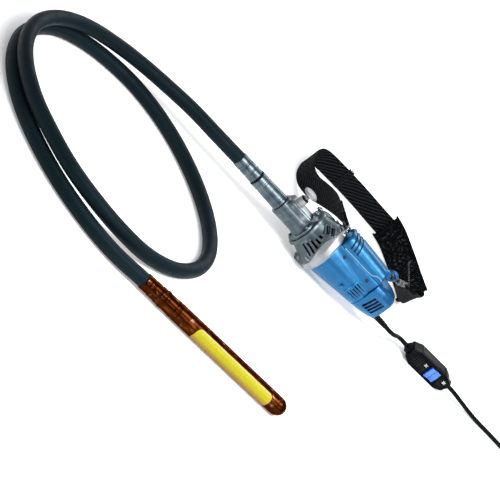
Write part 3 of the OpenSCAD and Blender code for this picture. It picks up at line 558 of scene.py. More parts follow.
def dress(material, slot, *nodes, edge=0.0):
    """Gives CAD nodes their finish, and breaks their sharp edges where edge is set."""
    for name in nodes:
        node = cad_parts[name]
        node.data.materials.clear()
        node.data.materials.append(material)
        if edge:
            weld = node.modifiers.new("weld", "WELD")
            weld.merge_threshold = 0.00001
            bevel = node.modifiers.new("edges", "BEVEL")
            bevel.width, bevel.segments, bevel.limit_method = edge * MM, 2, "ANGLE"
            bevel.angle_limit = math.radians(40)
            bevel.harden_normals = True


# ------------ camera, light and floor

def make_camera():
    """A long lens from the front left, above, rolled so that the tool runs down the picture."""
    azimuth, elevation, roll = (math.radians(x) for x in (17, 23, 53.7))
    right = Vector((math.cos(azimuth), -math.sin(azimuth), 0))
    level = Vector((math.sin(azimuth), math.cos(azimuth), 0))
    up = level * math.sin(elevation) + Vector((0, 0, math.cos(elevation)))
    across = right * math.cos(roll) + up * math.sin(roll)
    upwards = up * math.cos(roll) - right * math.sin(roll)
    data = bpy.data.cameras.new("camera")
    data.lens, data.sensor_width, data.clip_end = 205.7, 36, 100
    camera = add_object("camera", data)
    facing = Matrix((across, upwards, across.cross(upwards))).transposed().to_4x4()
    camera.matrix_world = at(-1.5803, -4.9543, 2.1370) @ facing
    bpy.context.scene.camera = camera


def area_light(name, place, aim, size, watts):
    data = bpy.data.lights.new(name, "AREA")
    data.shape, data.size, data.size_y, data.energy = "RECTANGLE", *size, watts
    light = add_object(name, data)
    light.location = place
    light.rotation_euler = (Vector(aim) - Vector(place)).to_track_quat("-Z", "Y").to_euler()


def make_stage():
    world = bpy.data.worlds.new("studio")
    world.use_nodes = True
    sky = world.node_tree.nodes["Background"].inputs
    sky["Color"].default_value = (0.93, 0.96, 1.0, 1)
    sky["Strength"].default_value = 0.45
    bpy.context.scene.world = world
    area_light("key", (0.5, -1.25, 2.15), (0, -0.1, 0.05), (2.2, 0.8), 72)
    area_light("fill", (1.3, -2.3, 1.3), (0, 0, 0.05), (1.4, 0.9), 16)
    area_light("rim", (0.2, 1.8, 1.5), (0, 0, 0.05), (1.8, 0.5), 20)
    mesh = bpy.data.meshes.new("floor")
    mesh.from_pydata([(-20, -20, 0), (20, -20, 0), (20, 20, 0), (-20, 20, 0)], [], [(0, 1, 2, 3)])
    floor = add_object("floor", mesh)
    mesh.materials.append(mottled("pale_floor", (0.93, 0.93, 0.93), (0.95, 0.95, 0.95), (3,), (8, 0.8, 0.9),
                                  Specular_IOR_Level=0.2, Emission_Color=(1, 1, 1),
                                  Emission_Strength=0.25))
    bpy.context.scene.view_settings.view_transform = "Standard"


# ------------ cords

HOSE_R = 14.5
POKER_START = (-320, -603, 18)
POKER = at(*POKER_START) @ spin(6.3, "Z")
HOSE_ROUTE = [
    (-228, 0, 54), (-290, 0, 53), (-360, 5, 50), (-430, 0, 46.5), (-500, -15, 45), (-565, -40, 44.5),
    (-625, -75, 44.5), (-675, -125, 44.5), (-710, -185, 44.5), (-730, -255, 44.5), (-730, -330, 44.5),
    (-710, -400, 44.5), (-670, -465, 44.5), (-615, -515, 44.5), (-550, -555, 44), (-475, -570, 40),
    (-400, -557, 30), (-330, -525, 19), (-265, -475, 14.5), (-220, -405, 14.5), (-205, -325, 14.5),
    (-220, -245, 14.5), (-260, -170, 14.5), (-320, -105, 14.5), (-390, -60, 14.5), (-465, -40, 14.5),
    (-535, -45, 14.5), (-605, -70, 14.5), (-665, -115, 14.5), (-705, -175, 14.5), (-730, -250, 14.5),
    (-730, -330, 14.5), (-710, -400, 14.5), (-670, -468, 14.5), (-612, -525, 14.5), (-540, -570, 14.5),
    (-460, -598, 14.5), (-390, -608, 15.5), POKER_START,
]
LEAD_R = 4.5
SWITCH_TURN = 6
SWITCH_L = 130
SWITCH_DEPTH = 34
SWITCH_AT = at(374, 66, 20) @ spin(SWITCH_TURN, "Z")
COIL_AT = (720, 160)
COIL_PITCH = 9.2
COIL_EDGE_R = 63.8
COIL_TURNS = 3
LEAD_EXIT = (228, 0, 39)
PLUG_AT = (COIL_AT[0] + COIL_EDGE_R, 226, 13)


def switch_end(side):
    return tuple(SWITCH_AT @ Vector((side * SWITCH_L / 2, 0, 0)))


LEAD_ROUTE = [
    LEAD_EXIT, (245, 4, 37), (259, 14, 34), (269, 30, 29.5), (279, 45, 25), (293, 56, 21.5), switch_end(-1),
]
SUPPLY_ROUTE = [
    switch_end(1), (460, 76, 18), (490, 82, 13), (520, 88, 8), (550, 93, 5), (590, 96.2, 4.5),
    (645, 96.2, 4.5), (700, 96.2, 4.5), (COIL_AT[0], 96.2, 4.5),
]


def coil_points():
    """Three turns inwards on the floor, a quarter turn up, and three turns outwards on top."""
    climb, step = 0.25, 12
    inner_r = COIL_EDGE_R - COIL_TURNS * COIL_PITCH
    points = []
    for angle in range(-90, round(360 * (2 * COIL_TURNS + climb)) - 90 + 1, step):
        wound = (angle + 90) / 360
        if wound <= COIL_TURNS:
            r, z = COIL_EDGE_R - COIL_PITCH * wound, LEAD_R
        elif wound <= COIL_TURNS + climb:
            r, z = inner_r, LEAD_R + COIL_PITCH * (wound - COIL_TURNS) / climb
        else:
            r, z = inner_r + COIL_PITCH * (wound - COIL_TURNS - climb), LEAD_R + COIL_PITCH
        t = math.radians(angle)
        points.append((COIL_AT[0] + r * math.cos(t), COIL_AT[1] + r * math.sin(t), z))
    return points


def cord(name, route, radius, material, stands_for, sides, step):
    """A cord's tube with its UV along it, and the points that it follows, in metres."""
    path = evenly(np.array(route, float), step)
    shape = ring_tube(path, radius, sides)
    uv = sweep_uv(shape[1], sides, arc_lengths(path))
    return piece(name, shape, material, stands_for, uv=uv), path * MM


def turned_piece(name, profile, soft, material, stands_for, matrix, segments=96, body=MOTOR):
    return piece(name, turned(profile, soft, segments, matrix), material, stands_for, body)


def make_hose():
    hose, path = cord("drive_hose_tube", spline_points(HOSE_ROUTE, 16), HOSE_R, HOSE,
                      ["drive_hose"], 32, 7)
    adapter = make_poker()


POKER_PARTS = [
    ("poker_hose_adapter", "poker_adapter", 0.5, 96, [
        (0, 13), (0, 15.2), (2, 15.9), (8, 15.9), (9.5, 15.0), (12, 15.9), (16, 15.9), (17.5, 14.9),
        (19.5, 14.9), (20.5, 16.2), (33, 16.2), (34, 15.3), (36, 15.3), (37.5, 16.9), (48, 16.9), (48, 10)]),
    ("poker_screw_sleeve", "poker_sleeve", 0.6, 96, [
        (48.2, 10), (48.2, 17.3), (49.4, 18), (54, 18), (55.5, 17.1), (73, 17.2), (75, 17.95), (80.5, 18),
        (82, 17.2), (84, 17.2), (84, 10)]),
    ("poker_body_tube", "poker_tube", 0.5, 128, [
        (84.2, 10), (84.2, 17.4), (85.4, 18), (126, 18), (126.6, 17.55), (128.4, 17.55), (129, 18),
        (341.4, 18), (341.9, 17.6), (341.9, 10)]),
    ("poker_nose", "poker_tip", 3.0, 128, [
        (342.1, 9), (342.1, 17.6), (342.9, 18), (349, 18), (355, 16.8), (361, 13.4), (365.4, 8.4),
        (367.8, 3), (368, 0.01)]),
]


def make_poker():
    made = [turned_piece(name, profile, soft, COPPER_STEEL, [node], POKER, segments)
            for name, node, soft, segments, profile in POKER_PARTS]
    make_label()
    return made[0]


def make_label():
    """A plain film with round corners, wrapped round the front of the poker tube."""
    start, length, low, high, corner = 131, 195, -62, 54, 11
    film_r, under_r, rows, columns = 18.28, 18.05, 26, 120
    half_arc = math.radians(high - low) * film_r / 2
    points, uv_of = [], []
    for i in range(columns + 1):
        x = length * i / columns
        to_end = min(x, length - x)
        trimmed = corner - math.sqrt(corner ** 2 - max(0, corner - to_end) ** 2)
        for v in np.arange(rows + 1) / rows:
            arc = (2 * v - 1) * max(half_arc - trimmed, 0.02)
            # the front of the tube faces -Y
            angle = math.radians((low + high) / 2) + arc / film_r
            points.append((start + x, -film_r * math.cos(angle), film_r * math.sin(angle)))
            uv_of.append((x * MM, (arc / half_arc + 1) / 2))
    outer, row = len(points), rows + 1
    points += [(x, y * under_r / film_r, z * under_r / film_r) for x, y, z in points]
    grid = [(a, a + 1, a + row + 1, a + row) for i in range(columns) for a in range(i * row, i * row + rows)]
    faces = grid + [tuple(outer + j for j in reversed(f)) for f in grid]
    rim = [*range(0, columns * row, row), *range(columns * row, outer),
           *range((columns - 1) * row + rows, 0, -row), *range(rows - 1, 0, -1)]
    faces += [(b, a, outer + a, outer + b) for a, b in zip(rim, rim[1:] + rim[:1])]
    uv = [uv_of[j % outer] for f in faces for j in f]
    piece("poker_label_film", moved((points, faces), POKER), LABEL, ["poker_label"], uv=uv)


def make_lead():
    """The whole mains lead, from its grommet through the switch and the coil to the plug."""
    x, y, z = PLUG_AT
    tail = [(x, 182, 13.7), (x, 204, 13.2), (x, y + 4, z)]
    route = [*spline_points(LEAD_ROUTE, 12), *spline_points(SUPPLY_ROUTE, 12)[:-1], *coil_points(), *tail]
    lead, path = cord("mains_lead_cord", route, LEAD_R, LEAD,
                      ["mains_lead", "supply_lead", "lead_coil", "coil_tail"], 16, 4)
    on_it = [*make_switch(), make_grommet(), *make_plug(), make_tie()]


def make_grommet():
    """Ribbed strain relief that tapers along the lead."""
    profile = [(183, 5), (183, 6.5), (199, 6.5)]
    for i in range(7):
        x, r = 200 + i * 3.6, 6.5 - 0.16 * i
        profile += [(x, r), (x + 1.9, r), (x + 2.2, r - 0.9), (x + 3.2, r - 0.9)]
    profile += [(226, 5.4), (228, 5.2), (228, 4.4)]
    return turned_piece("lead_strain_relief", profile, 0.3, LEAD, ["lead_grommet"],
                        at(0, 0, LEAD_EXIT[2]), 48)


def make_tie():
    """A hook-and-loop band round one side of the coil."""
    top, margin, half_l = 2 * COIL_PITCH, 4.6, 7
    inner, outer = COIL_EDGE_R - COIL_TURNS * COIL_PITCH - margin, COIL_EDGE_R + margin
    outline = rounded_outline((outer - inner) / 2 + 1.4, 0.2, top + 1.6, 4, 4, 6)
    wall = rounded_outline((outer - inner) / 2 + 0.2, 1.0, top + 0.5, 3.2, 3.2, 6)
    middle = COIL_AT[1] + (inner + outer) / 2
    rings = [[(COIL_AT[0] + x, middle + y, z) for y, z in line]
             for x, line in ((-half_l, wall), (-half_l, outline), (half_l, outline), (half_l, wall))]
    flap = block((COIL_AT[0], middle + 6, top + 2.3), (13, 26, 1.4), 0.4, 2)
    return piece("coil_tie_band", joined(loft(rings, True), flap), TAPE, ["coil_tie"])


def make_plug():
    """Two-pin plug with a ribbed neck, a waist and a flat pin face."""
    stations = [(0, 6.4, 6.4, 6.3), (4, 6.6, 6.6, 6.4), (5, 8.4, 8.2, 8), (11, 9.2, 8.6, 8.4),
                (17, 12.5, 9.6, 9), (23, 16.6, 11.4, 10.4), (29, 17.8, 12.4, 11), (40, 18, 12.8, 11.4),
                (46.4, 17.8, 12.7, 11.4), (47.7, 17.0, 12.0, 10.8), (48, 15.6, 10.8, 9.6)]
    rings = [[(x, y, z) for y, z in rounded_outline(half_w, -half_h, half_h, corner, corner)]
             for x, half_w, half_h, corner in stations]
    grips = [block((34, y, z), (14, 1.2, 1.5), 0.5, 0.5) for y in (-17.9, 17.9) for z in (-4.5, 0, 4.5)]
    shape = moved(joined(loft(rings), *grips), at(*PLUG_AT) @ spin(90, "Z"))
    plug = piece("plug_moulding", shape, LEAD, ["plug_body"])
    return [plug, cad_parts["plug_pins"]]


# ------------ in-line switch

ROCKER_X = 14


def on_switch(x, y, z, size, edge, corner):
    """A block in the switch's own directions."""
    return block(SWITCH_AT @ Vector((x, y, z)), size, edge, corner, (0, 0, SWITCH_TURN))


def make_switch():
    """Two halves that meet in a seam, a sunk rocker, two clips and two glands."""
    flat, end, tall, short, front = 75, 112, 40, 24, -SWITCH_DEPTH / 2
    outline = rounded([(-flat / 2, tall / 2), (-end / 2, short / 2), (-end / 2, 0.25), (end / 2, 0.25),
                       (end / 2, short / 2), (flat / 2, tall / 2)], 3, 3)
    made = []
    for side, name, node in ((1, "switch_top_half", "switch_upper_shell"),
                             (-1, "switch_bottom_half", "switch_lower_shell")):
        shape = prism([(x, side * y) for x, y in outline], SWITCH_DEPTH,
                      SWITCH_AT @ crosswise(SWITCH_DEPTH), 2.2, 4)
        half = piece(name, shape, SWITCH, [node])
        # sunk panel, and the deeper opening for the rocker
        carve(half, on_switch(ROCKER_X, front, 0, (35, 4, 30), 0.6, 1.5), SWITCH)
        carve(half, on_switch(ROCKER_X, front, 0, (27.6, 14, 26.8), 0.4, 1), DARK)
        made.append(half)
    panels = [on_switch(-3, 0, z, (66, 22, 1.6), 0.5, 3) for z in (20, -19.15)]
    panels += [on_switch(-38 + 5 * i, front, 0, (1.8, 1.4, 21), 0.5, 0.6) for i in range(4)]
    made.append(piece("switch_panels", joined(*panels), DARK))
    clips = []
    for x in (-11, 44):
        # each clip is a bright plate with two raised tongues
        clips.append(on_switch(x, front - 0.1, 6, (6.4, 1.6, 6), 0.5, 1.4))
        clips += [on_switch(x, front - 0.5, z, (9, 1.6, 1.6), 0.4, 0.6) for z in (3.6, 8.4)]
    made.append(piece("switch_clips", joined(*clips), NICKEL))
    profile = [(46, 5), (46, 7), (56, 7), (56.2, 11.4), (57.2, 12), (60.2, 12), (61, 11.2), (61.2, 8.9),
               (62.4, 8.4), (62.9, 7.6), (63.9, 7.9), (64.3, 7), (65, 6.6), (65, 4.4)]
    glands = [turned(profile, 0.4, 48, SWITCH_AT @ spin(angle, "Z")) for angle in (180, 0)]
    made.append(piece("switch_cord_glands", joined(*glands), LEAD, ["switch_glands"]))
    return [*made, make_rocker(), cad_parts["switch_contacts"]]


def make_rocker():
    """Rocker with two sloped paddles and a raised bar between them."""
    width, tilt = 26, 8
    matrix = SWITCH_AT @ at(ROCKER_X, 4 - SWITCH_DEPTH / 2, 0) @ spin(tilt, "Z") @ at(0, 0, -width / 2)
    shapes = []
    for side in (-1, 1):
        line = [(0.7, 2.6), (0.7, -3.2), (2.2, -4.3), (11.6, -5.6), (12.9, -4.8), (12.6, 0.4), (4, 2.8)]
        line = anticlockwise([(side * x, y) for x, y in line])
        shapes.append(prism(rounded(line, 0.8, 2), width, matrix, 0.9))
    shapes.append(prism([(-2.6, -2.0), (2.6, -2.0), (2.6, 3.2), (-2.6, 3.2)], width, matrix, 0.4))
    return piece("switch_rocker_cap", joined(*shapes), ROCKER_BLUE, ["switch_rocker"],
                 "rocker")


# ------------ hose coupling, neck and lock

def make_coupling():
    turned_piece("ferrule_sleeve", [
        (-228.3, 14.4), (-228.3, 15.3), (-227, 15.9), (-213, 15.9), (-211.5, 15.1), (-209.5, 15.1),
        (-208, 15.9), (-196.5, 15.9), (-195, 15.1), (-193.4, 15.1), (-192, 16), (-178.6, 16.2),
        (-177.2, 15.4), (-177.2, 13)], 0.5, STEEL, ["hose_ferrule"], about_motor())
    turned_piece("coupler_sleeve", [
        (-174, 13), (-174, 16.7), (-172.8, 17.3), (-160, 17.3), (-158.8, 16.7), (-156, 16.7),
        (-154.8, 17.4), (-113, 18.1), (-111.6, 18.5), (-106.4, 18.5), (-106.4, 13)],
        0.5, STEEL, ["hose_coupler"], about_motor())


def flange_scallop(angle):
    """The three lobes of the flanges that join the neck to the housing."""
    return 2.6 * max(0.0, math.cos(3 * (angle + math.pi / 2))) ** 0.7


def make_neck():
    """Cast neck: barrel, cone and bolted flange, with the flat-topped saddle for the lock."""
    barrel = turned([(-106, 18.6), (-106, 21.8), (-105, 23), (-52, 23), (-44, 25.5), (-41.4, 28.2),
                     (-41.4, 34), (-35.2, 34), (-35.2, 18)], 1.4, 120, about_motor(),
                    lambda x, a: flange_scallop(a) if -42 < x < -35.1 else 0.0)
    side_view = rounded([(-106, 60), (-106, 66), (-97, 81.6), (-96, 82), (-46, 82), (-46, 60)], 1.2, 3)
    saddle = prism(side_view, 36, crosswise(36), 1.8, 4)
    step = prism([(-94, 81), (-94, 83.4), (-48, 83.4), (-48, 81)], 26, crosswise(26), 1.0)
    web = prism([(-46, 60), (-46, 79), (-40, 92), (-35.5, 92), (-35.5, 60)], 30, crosswise(30), 1.6)
    piece("neck_casting", joined(barrel, saddle, step, web), CAST, ["drive_neck"])


def make_lock():
    """Hexagonal boss with a rubber collar, and the mushroom knob that lifts the plunger."""
    lock_x, boss_r, boss_h = -83, 11.2, 17.6
    hexagon = [(boss_r * math.cos(t), boss_r * math.sin(t)) for t in np.radians(np.arange(12, 372, 60))]
    boss = prism(rounded(hexagon, 1.5, 2), boss_h, at(lock_x, 0, 80), 1.2)
    foot = turned([(79, 6), (79, 12.8), (83.6, 12.8), (83.6, 6)], 0.8, 64, upright(lock_x))
    piece("lock_boss_hexagon", joined(boss, foot), SMOOTH, ["lock_boss"])
    turned_piece("lock_boss_collar", [(97, 5), (97, 9.2), (99.9, 8.7), (99.9, 5)], 0.6, DARK,
                 (), upright(lock_x), 64)
    turned_piece("lock_knob_mushroom", [
        (100.9, 0.01), (100.9, 5.6), (102, 5.6), (104.6, 4.6), (108, 6.6), (110.4, 12.4), (111.6, 15.8),
        (113.2, 16.5), (114.6, 16), (116.6, 13), (118.0, 8), (118.5, 2.5), (118.5, 0.01)],
        1.2, SMOOTH, ["lock_knob"], upright(lock_x), 96, "lock_plunger")


# ------------ fan housing

BOLT_ANGLES = (62, 118, 205, 335)


def lobe(angle, middle, width):
    """1 at the middle angle, falling smoothly to 0 at width degrees from it."""
    away = (math.degrees(angle) - middle + 180) % 360 - 180
    return max(0.0, math.cos(math.radians(min(90, abs(away) * 90 / width)))) ** 1.5


def housing_swell(x, angle):
    """The housing's crown, which carries the strap bracket, stands above the round body."""
    rise = 13.5 * lobe(angle, 84, 62) * min(1, max(0, (30 - x) / 30))
    return rise + (flange_scallop(angle) if x < -27.5 else 0.0)


def on_housing(x, angle, lift):
    """The place that far above the housing's axis at that angle, turned to face away from it."""
    return about_motor(x) @ spin(angle - 90, "X") @ at(0, 0, lift)


def on_crown(x, angle, slant):
    return on_housing(x, angle, 46.5 + 0.45 * (x + 17)) @ spin(slant, "Z")


def make_fan_housing():
    outer = softened([(-35, 17.5), (-35, 38.2), (-28.5, 38.6), (-27.5, 36), (-16, 39.2), (-9, 41.4),
                      (4, 47.6), (11.5, 52), (14, 52.5), (24.5, 52.5), (26.5, 50.2), (28, 49.8),
                      (28, 45.5)], 1.6)
    inner = [(10, 44), (3, 40), (-12, 34.5), (-17, 32.5), (-17, 17.5)]
    shape = lathe([*outer, *inner], 180, about_motor(), housing_swell, closed=True)
    shell = piece("fan_housing_casting", shape, CAST, ["fan_housing"])
    crown = softened([(-45, 0.01), (-45, 6), (-42, 14), (-36, 20), (-27, 24.4), (-15, 25.4), (13, 25.4),
                      (19, 21), (19, 0.01)], 5, 5)
    dome = piece("housing_crown_dome", lathe(crown, 80, at(0, 14, 82)), CAST)
    for x, angle, slant in ((-12.5, 117, 28), (-3.5, 114.5, 28), (-12.5, 63, -28), (-3.5, 65.5, -28)):
        # pocket between two ribs of the crown, its walls cut in dark plastic as painted shade
        pocket = moved(block((0, 0, 2), (4.6, 18, 12), 0.5, 1.8), on_crown(x, angle, slant))
        for casting in (shell, dome):
            carve(casting, pocket, DARK)
    slots = [((-24, 3), -13.5), ((-21, 3), 0), ((-19, 1), 13.5), ((-15, -2), 27), ((-15, -7), 40.5)]
    for side in (-1, 1):
        for (start, end), angle in slots:
            slot = block(((start + end) / 2, side * 45, 0), (end - start, 26, 5.2), 0.5, 1.8)
            carve(shell, moved(slot, about_motor() @ spin(side * angle, "X")), CAST)


def make_collar():
    """Machined band at the rear of the casting, widest above each row of slots."""
    end_x, proud, under = 27.9, 0.5, 0.95
    rings = []
    for share in np.linspace(0, 1, 20):
        ring = []
        for angle in around(180):
            front = 12 - 11 * max(lobe(angle, 152, 55), lobe(angle, 28, 55))
            x = front + (end_x - front) * share
            r = np.interp(x, (0, 4, 11.5, 14, 24.5, 26.5, 28), (45.7, 47.6, 52, 52.5, 52.5, 50.2, 49.8))
            r += housing_swell(x, angle) + proud * min(1, share * 12)
            ring.append((x, r * math.cos(angle), AXIS_Z + r * math.sin(angle)))
        rings.append(ring)
    inner = [[(x, y * under, AXIS_Z + (z - AXIS_Z) * under) for x, y, z in ring]
             for ring in (rings[-1], rings[0])]
    piece("housing_smooth_collar", loft([*rings, *inner], closed=True), SMOOTH)


def make_housing_details():
    """Ribs, bolt fairings and foot of the casting, each blended into it by its overlap."""
    ribs = ((-17, 118, 28), (-8, 116, 28), (1, 113, 28), (-17, 62, -28), (-8, 64, -28), (1, 67, -28))
    details = [moved(block((0, 0, 0), (3.4, 22, 9), 1.2, 1.5), on_crown(*rib)) for rib in ribs]
    for angle in BOLT_ANGLES:
        # pointed fairing that ends in a bolt seat
        details.append(prism([(0, 0), (26, 7.5), (26, -7.5)], 7, on_housing(-1, angle, 44.2), 1.4))
    details.append(block((11, 0, 6), (29.6, 25.6, 12), 1.2, 4))
    details.append(block((14.5, 0, AXIS_Z + 49.5), (27, 27, 8.6), 1.2, 3))
    piece("housing_ribs_and_foot", joined(*details), CAST)
    make_collar()
    socket = [(0, 0.01), (0, 3.6), (3.4, 3.6), (3.4, 1.8), (1.4, 1.8), (1.4, 0.01)]
    bolts = [turned(socket, 0.3, 24, on_housing(25.4, angle, 47.6)) for angle in BOLT_ANGLES]
    head = [(2, 0.01), (2, 1.9), (0, 1.9), (0, 3.6), (3.6, 3.6), (3.6, 0.01)]
    bolts += [turned(head, 0.3, 24, on_housing(-44.6, angle, 31)) for angle in (150, 210, 270, 330, 30, 90)]
    cap = [(-47, 0.01), (-47, 2.4), (-46.4, 3.4), (-43, 3.4), (-43, 5.2), (-38, 5.2), (-38, 0.01)]
    bolts += [turned(cap, 0.4, 24, at(0, y, z)) for y, z in ((22, 97), (8, 92))]
    piece("housing_screw_heads", joined(*bolts), STEEL, ["housing_bolts", "neck_screws"])


def make_bracket():
    """Pressed strap bracket with its screws, and the ring that the strap hangs from."""
    x, loop_z = 16, 119
    plate = block((x, 0, 110.4), (20, 24, 3), 0.7, 2.5)
    bail = ring_tube(circle_path((x, 0, loop_z), 7.3, "x"), 1.9, 14, closed=True)
    feet = [block((x, side * 7.4, 113.6), (4, 2.8, 6), 0.6, 0.8) for side in (-1, 1)]
    head = [(111.6, 0.01), (111.6, 3.5), (113, 3.2), (113.9, 1.6), (113.9, 0.01)]
    screws = [turned(head, 0.3, 24, upright(x + side * 6.5)) for side in (-1, 1)]
    piece("strap_bracket_pressing", joined(plate, bail, *feet, *screws), NICKEL,
          ["strap_bracket"])
    ring = ring_tube(circle_path((x, 10, loop_z), 10, "z"), 2, 16, closed=True)
    piece("strap_front_ring", ring, BLACK_STEEL, ["front_ring"])


# ------------ blue shells

SHELL_WALL = 3
ROOF_LOW = 100.3


def section_rings(stations, wall=0.0):
    """Rings through stations of (x, half width, low z, high z, low radius, high radius)."""
    marks = np.array(stations, float)
    steps = 6
    rings = []
    for t in np.linspace(0, len(marks) - 1, (len(marks) - 1) * steps + 1):
        here = [np.interp(t, np.arange(len(marks)), column) for column in marks.T]
        x, half_w, low, high, r_low, r_high = here
        line = rounded_outline(half_w - wall, low + wall, high - wall, max(r_low - wall, 0.4),
                               max(r_high - wall, 0.4), 10)
        rings.append([(x, y, z) for y, z in line])
    return rings


def shell_loft(stations):
    """A hollow shell: the outer loft, back through the inner one, closed at both rims."""
    return loft([*section_rings(stations), *reversed(section_rings(stations, SHELL_WALL))], closed=True)


def barrel_radius(x):
    """The barrel tapers from 46 to 33 over its 113 of length."""
    return 46 - (x - 28) / 113 * 13


def barrel_point(x, angle, lift):
    r, t = barrel_radius(x) + lift, math.radians(angle)
    return (x, r * math.cos(t), AXIS_Z + r * math.sin(t))


def barrel_ring(x, grow):
    """Round barrel with two upright shoulders that carry the top cover."""
    r, half_w, top = barrel_radius(x) + grow, 29.6 - (x - 28) * 0.0177 + grow, 99.8 + grow
    corner_r, flare, flare_h = 4, 0.9, 2.2
    meet = math.acos(half_w / r)
    side = [(r * math.cos(a), AXIS_Z + r * math.sin(a)) for a in np.linspace(-math.pi / 2, meet, 40)[1:-1]]
    crease_z = AXIS_Z + r * math.sin(meet)
    wall = [(half_w + flare * t ** 2, crease_z + flare_h * (1 - t)) for t in (1.0, 0.6, 0.3, 0)]
    corner = [(half_w - corner_r * (1 - math.cos(a)), top - corner_r * (1 - math.sin(a)))
              for a in np.linspace(0, math.pi / 2, 6)]
    right = [*side, *wall, *corner]
    return [(x, y, z) for y, z in [*right, *[(-y, z) for y, z in reversed(right)]]]


def make_motor_housing():
    """Tapered barrel with shoulders, a raised frame round its grooved side panel and small bosses."""
    straight = [(x, 0) for x in (31, *np.linspace(40, 132, 14), 139.8)]
    marks = [(28.2, -1.4), (29.2, -0.2), *straight, (140.8, -1)]
    outer = [barrel_ring(x, grow) for x, grow in marks]
    inner = [barrel_ring(x, grow - SHELL_WALL) for x, grow in marks]
    barrel = piece("motor_housing_shell", loft([*outer, *reversed(inner)], closed=True), BLUE,
                   ["motor_housing"], sharp=28)
    # the side panel's grooves are cut with walls of navy painted shade
    groove_x, panel, panel_x = 124, (-22, 35), (106, 139)
    for side in (-1, 1):
        groove = block((0, 0, 0), (27, 6, 2.4), 0.5, 1.2, (0, 0, -6.5 * side))
        for angle in (-14, -4, 6, 16, 26):
            turn = about_motor(groove_x) @ spin(angle if side > 0 else 180 - angle, "X")
            carve(barrel, moved(groove, turn @ at(0, barrel_radius(groove_x) + 0.6, 0)), NAVY_PAINTED_SHADE)
    bars = []
    for side in (-1, 1):
        low, high = panel if side > 0 else (180 - panel[1], 180 - panel[0])
        for angle in (low, high):
            bars.append(ring_tube([barrel_point(x, angle, 0.2) for x in np.linspace(*panel_x, 8)], 1.1, 10))
        for x in panel_x:
            bars.append(ring_tube([barrel_point(x, a, 0.2) for a in np.linspace(low, high, 24)], 1.1, 10))
        bars.append(block((80, side * 29.2, 95.5), (96, 2.4, 1.8), 0.6, 0.7, (0, 0, -side)))
        bars.append(turned([(0, 0.01), (0, 4.6), (2.2, 4), (2.2, 0.01)], 0.5, 32,
                           at(94, side * 40.4, 45) @ spin(side * 90, "Z")))
    piece("motor_housing_ribs", joined(*bars), BLUE)


def make_top_cover():
    """Crowned cover with three slanting grooves at the front and a lug at the rear."""
    roof = [(30.2, 25.5, 126, 20), (31.2, 27.6, 128.9, 22.5), (34, 28.4, 130.2, 23.4), (60, 28, 129.2, 23),
            (90, 27.4, 127.4, 22.4), (118, 26.8, 125.4, 21.4), (137, 26.2, 123.4, 20.4), (140, 25, 121.6, 19),
            (140.9, 23, 119.6, 17)]
    stations = [(x, half_w, ROOF_LOW, high, 1, r_high) for x, half_w, high, r_high in roof]
    cover = piece("top_cover_shell", shell_loft(stations), BLUE, ["top_cover"], sharp=30)
    # the slanting grooves are cut with walls of navy painted shade
    for side in (-1, 1):
        for start in (35, 44, 53):
            path = [(start + 1, side * -7, 129.9), (start + 2, side * 1, 129.9)]
            for t in np.linspace(0, 1, 14):
                y, z = 5 + 23.2 * math.sin(t * 1.45), 106.4 + 23.4 * math.cos(t * 1.45)
                path.append((start + 3 + t * 8, side * y, z))
            carve(cover, ring_tube(path, 2.1, 12), NAVY_PAINTED_SHADE)
    walls = [loft(section_rings([(x + dx, 24.6, 101, high, 1, 20) for dx in (0, 1.6)]))
             for x, high in ((31.4, 125.4), (138.2, 119.4))]
    piece("top_cover_end_walls", joined(*walls), BLUE)
    # the seam beads' pale colour is a painted highlight along the seam
    line = softened([(38, 101.6), (70, 101.6), (104, 101.6), (114, 102), (119, 105), (122, 108.6),
                     (126, 109.6), (138, 109.6)], 4)
    seams = [ring_tube([(x, side * (28.7 - (x - 34) * 0.021), z) for x, z in line], 0.85, 8)
             for side in (-1, 1)]
    piece("top_cover_seam", joined(*seams), SEAM_HIGHLIGHT)
    ring = ring_tube(circle_path((151, 0, 123), 8.5, "y"), 3.7, 16, closed=True)
    arm = prism([(128, 112), (150, 108), (158, 113.5), (150, 116), (144, 128), (128, 121)], 8,
                crosswise(8), 1.6)
    piece("top_cover_lug", joined(ring, arm), BLUE)


def make_rear_cover():
    """Rear cover that narrows to the lead outlet, with four slots on each side."""
    stations = [(141.2, 32.4, 22.6, 99.4, 31, 14.5), (142.2, 33.8, 21.4, 100.6, 32.4, 15),
                (152, 33, 22.6, 100.6, 31.6, 15), (164, 31.6, 24.6, 100.2, 30, 15),
                (176, 29, 27.4, 98.8, 27, 15), (186, 26, 30.2, 96.6, 24, 15),
                (191, 23.6, 33.2, 94.8, 21, 15), (194, 20, 37.5, 92, 17, 14)]
    cover = piece("rear_cover_shell", shell_loft(stations), BLUE, ["rear_cover"])
    cap = loft(section_rings([(190.6, 20.4, 36.5, 92.6, 17.6, 13), (194, 19.6, 38, 91.6, 17, 13.4),
                              (195.4, 17.4, 40.6, 89.4, 15, 12)]))
    outlet = turned([(182, 5.9), (182, 8.6), (197.4, 8.6), (197.4, 5.9)], 0.8, 40, at(0, 0, LEAD_EXIT[2]))
    piece("rear_cover_end", joined(cap, outlet), BLUE)
    # the slots are cut with walls of navy painted shade
    for side in (-1, 1):
        for x in (156.5, 164, 171.5, 179):
            carve(cover, block((x, side * 30, 62), (5.5, 18, 33), 0.6, 1.6, (0, 8, 0)), NAVY_PAINTED_SHADE)
    # navy sheet inside the cover: painted shade seen through the slots
    piece("rear_cover_painted_shade_sheet", loft(section_rings([(150, 28.2, 34, 92, 26, 12), (184, 23.6, 36, 90, 20, 12)])),
          NAVY_PAINTED_SHADE, sharp=30)


# ------------ strap, pad and hook

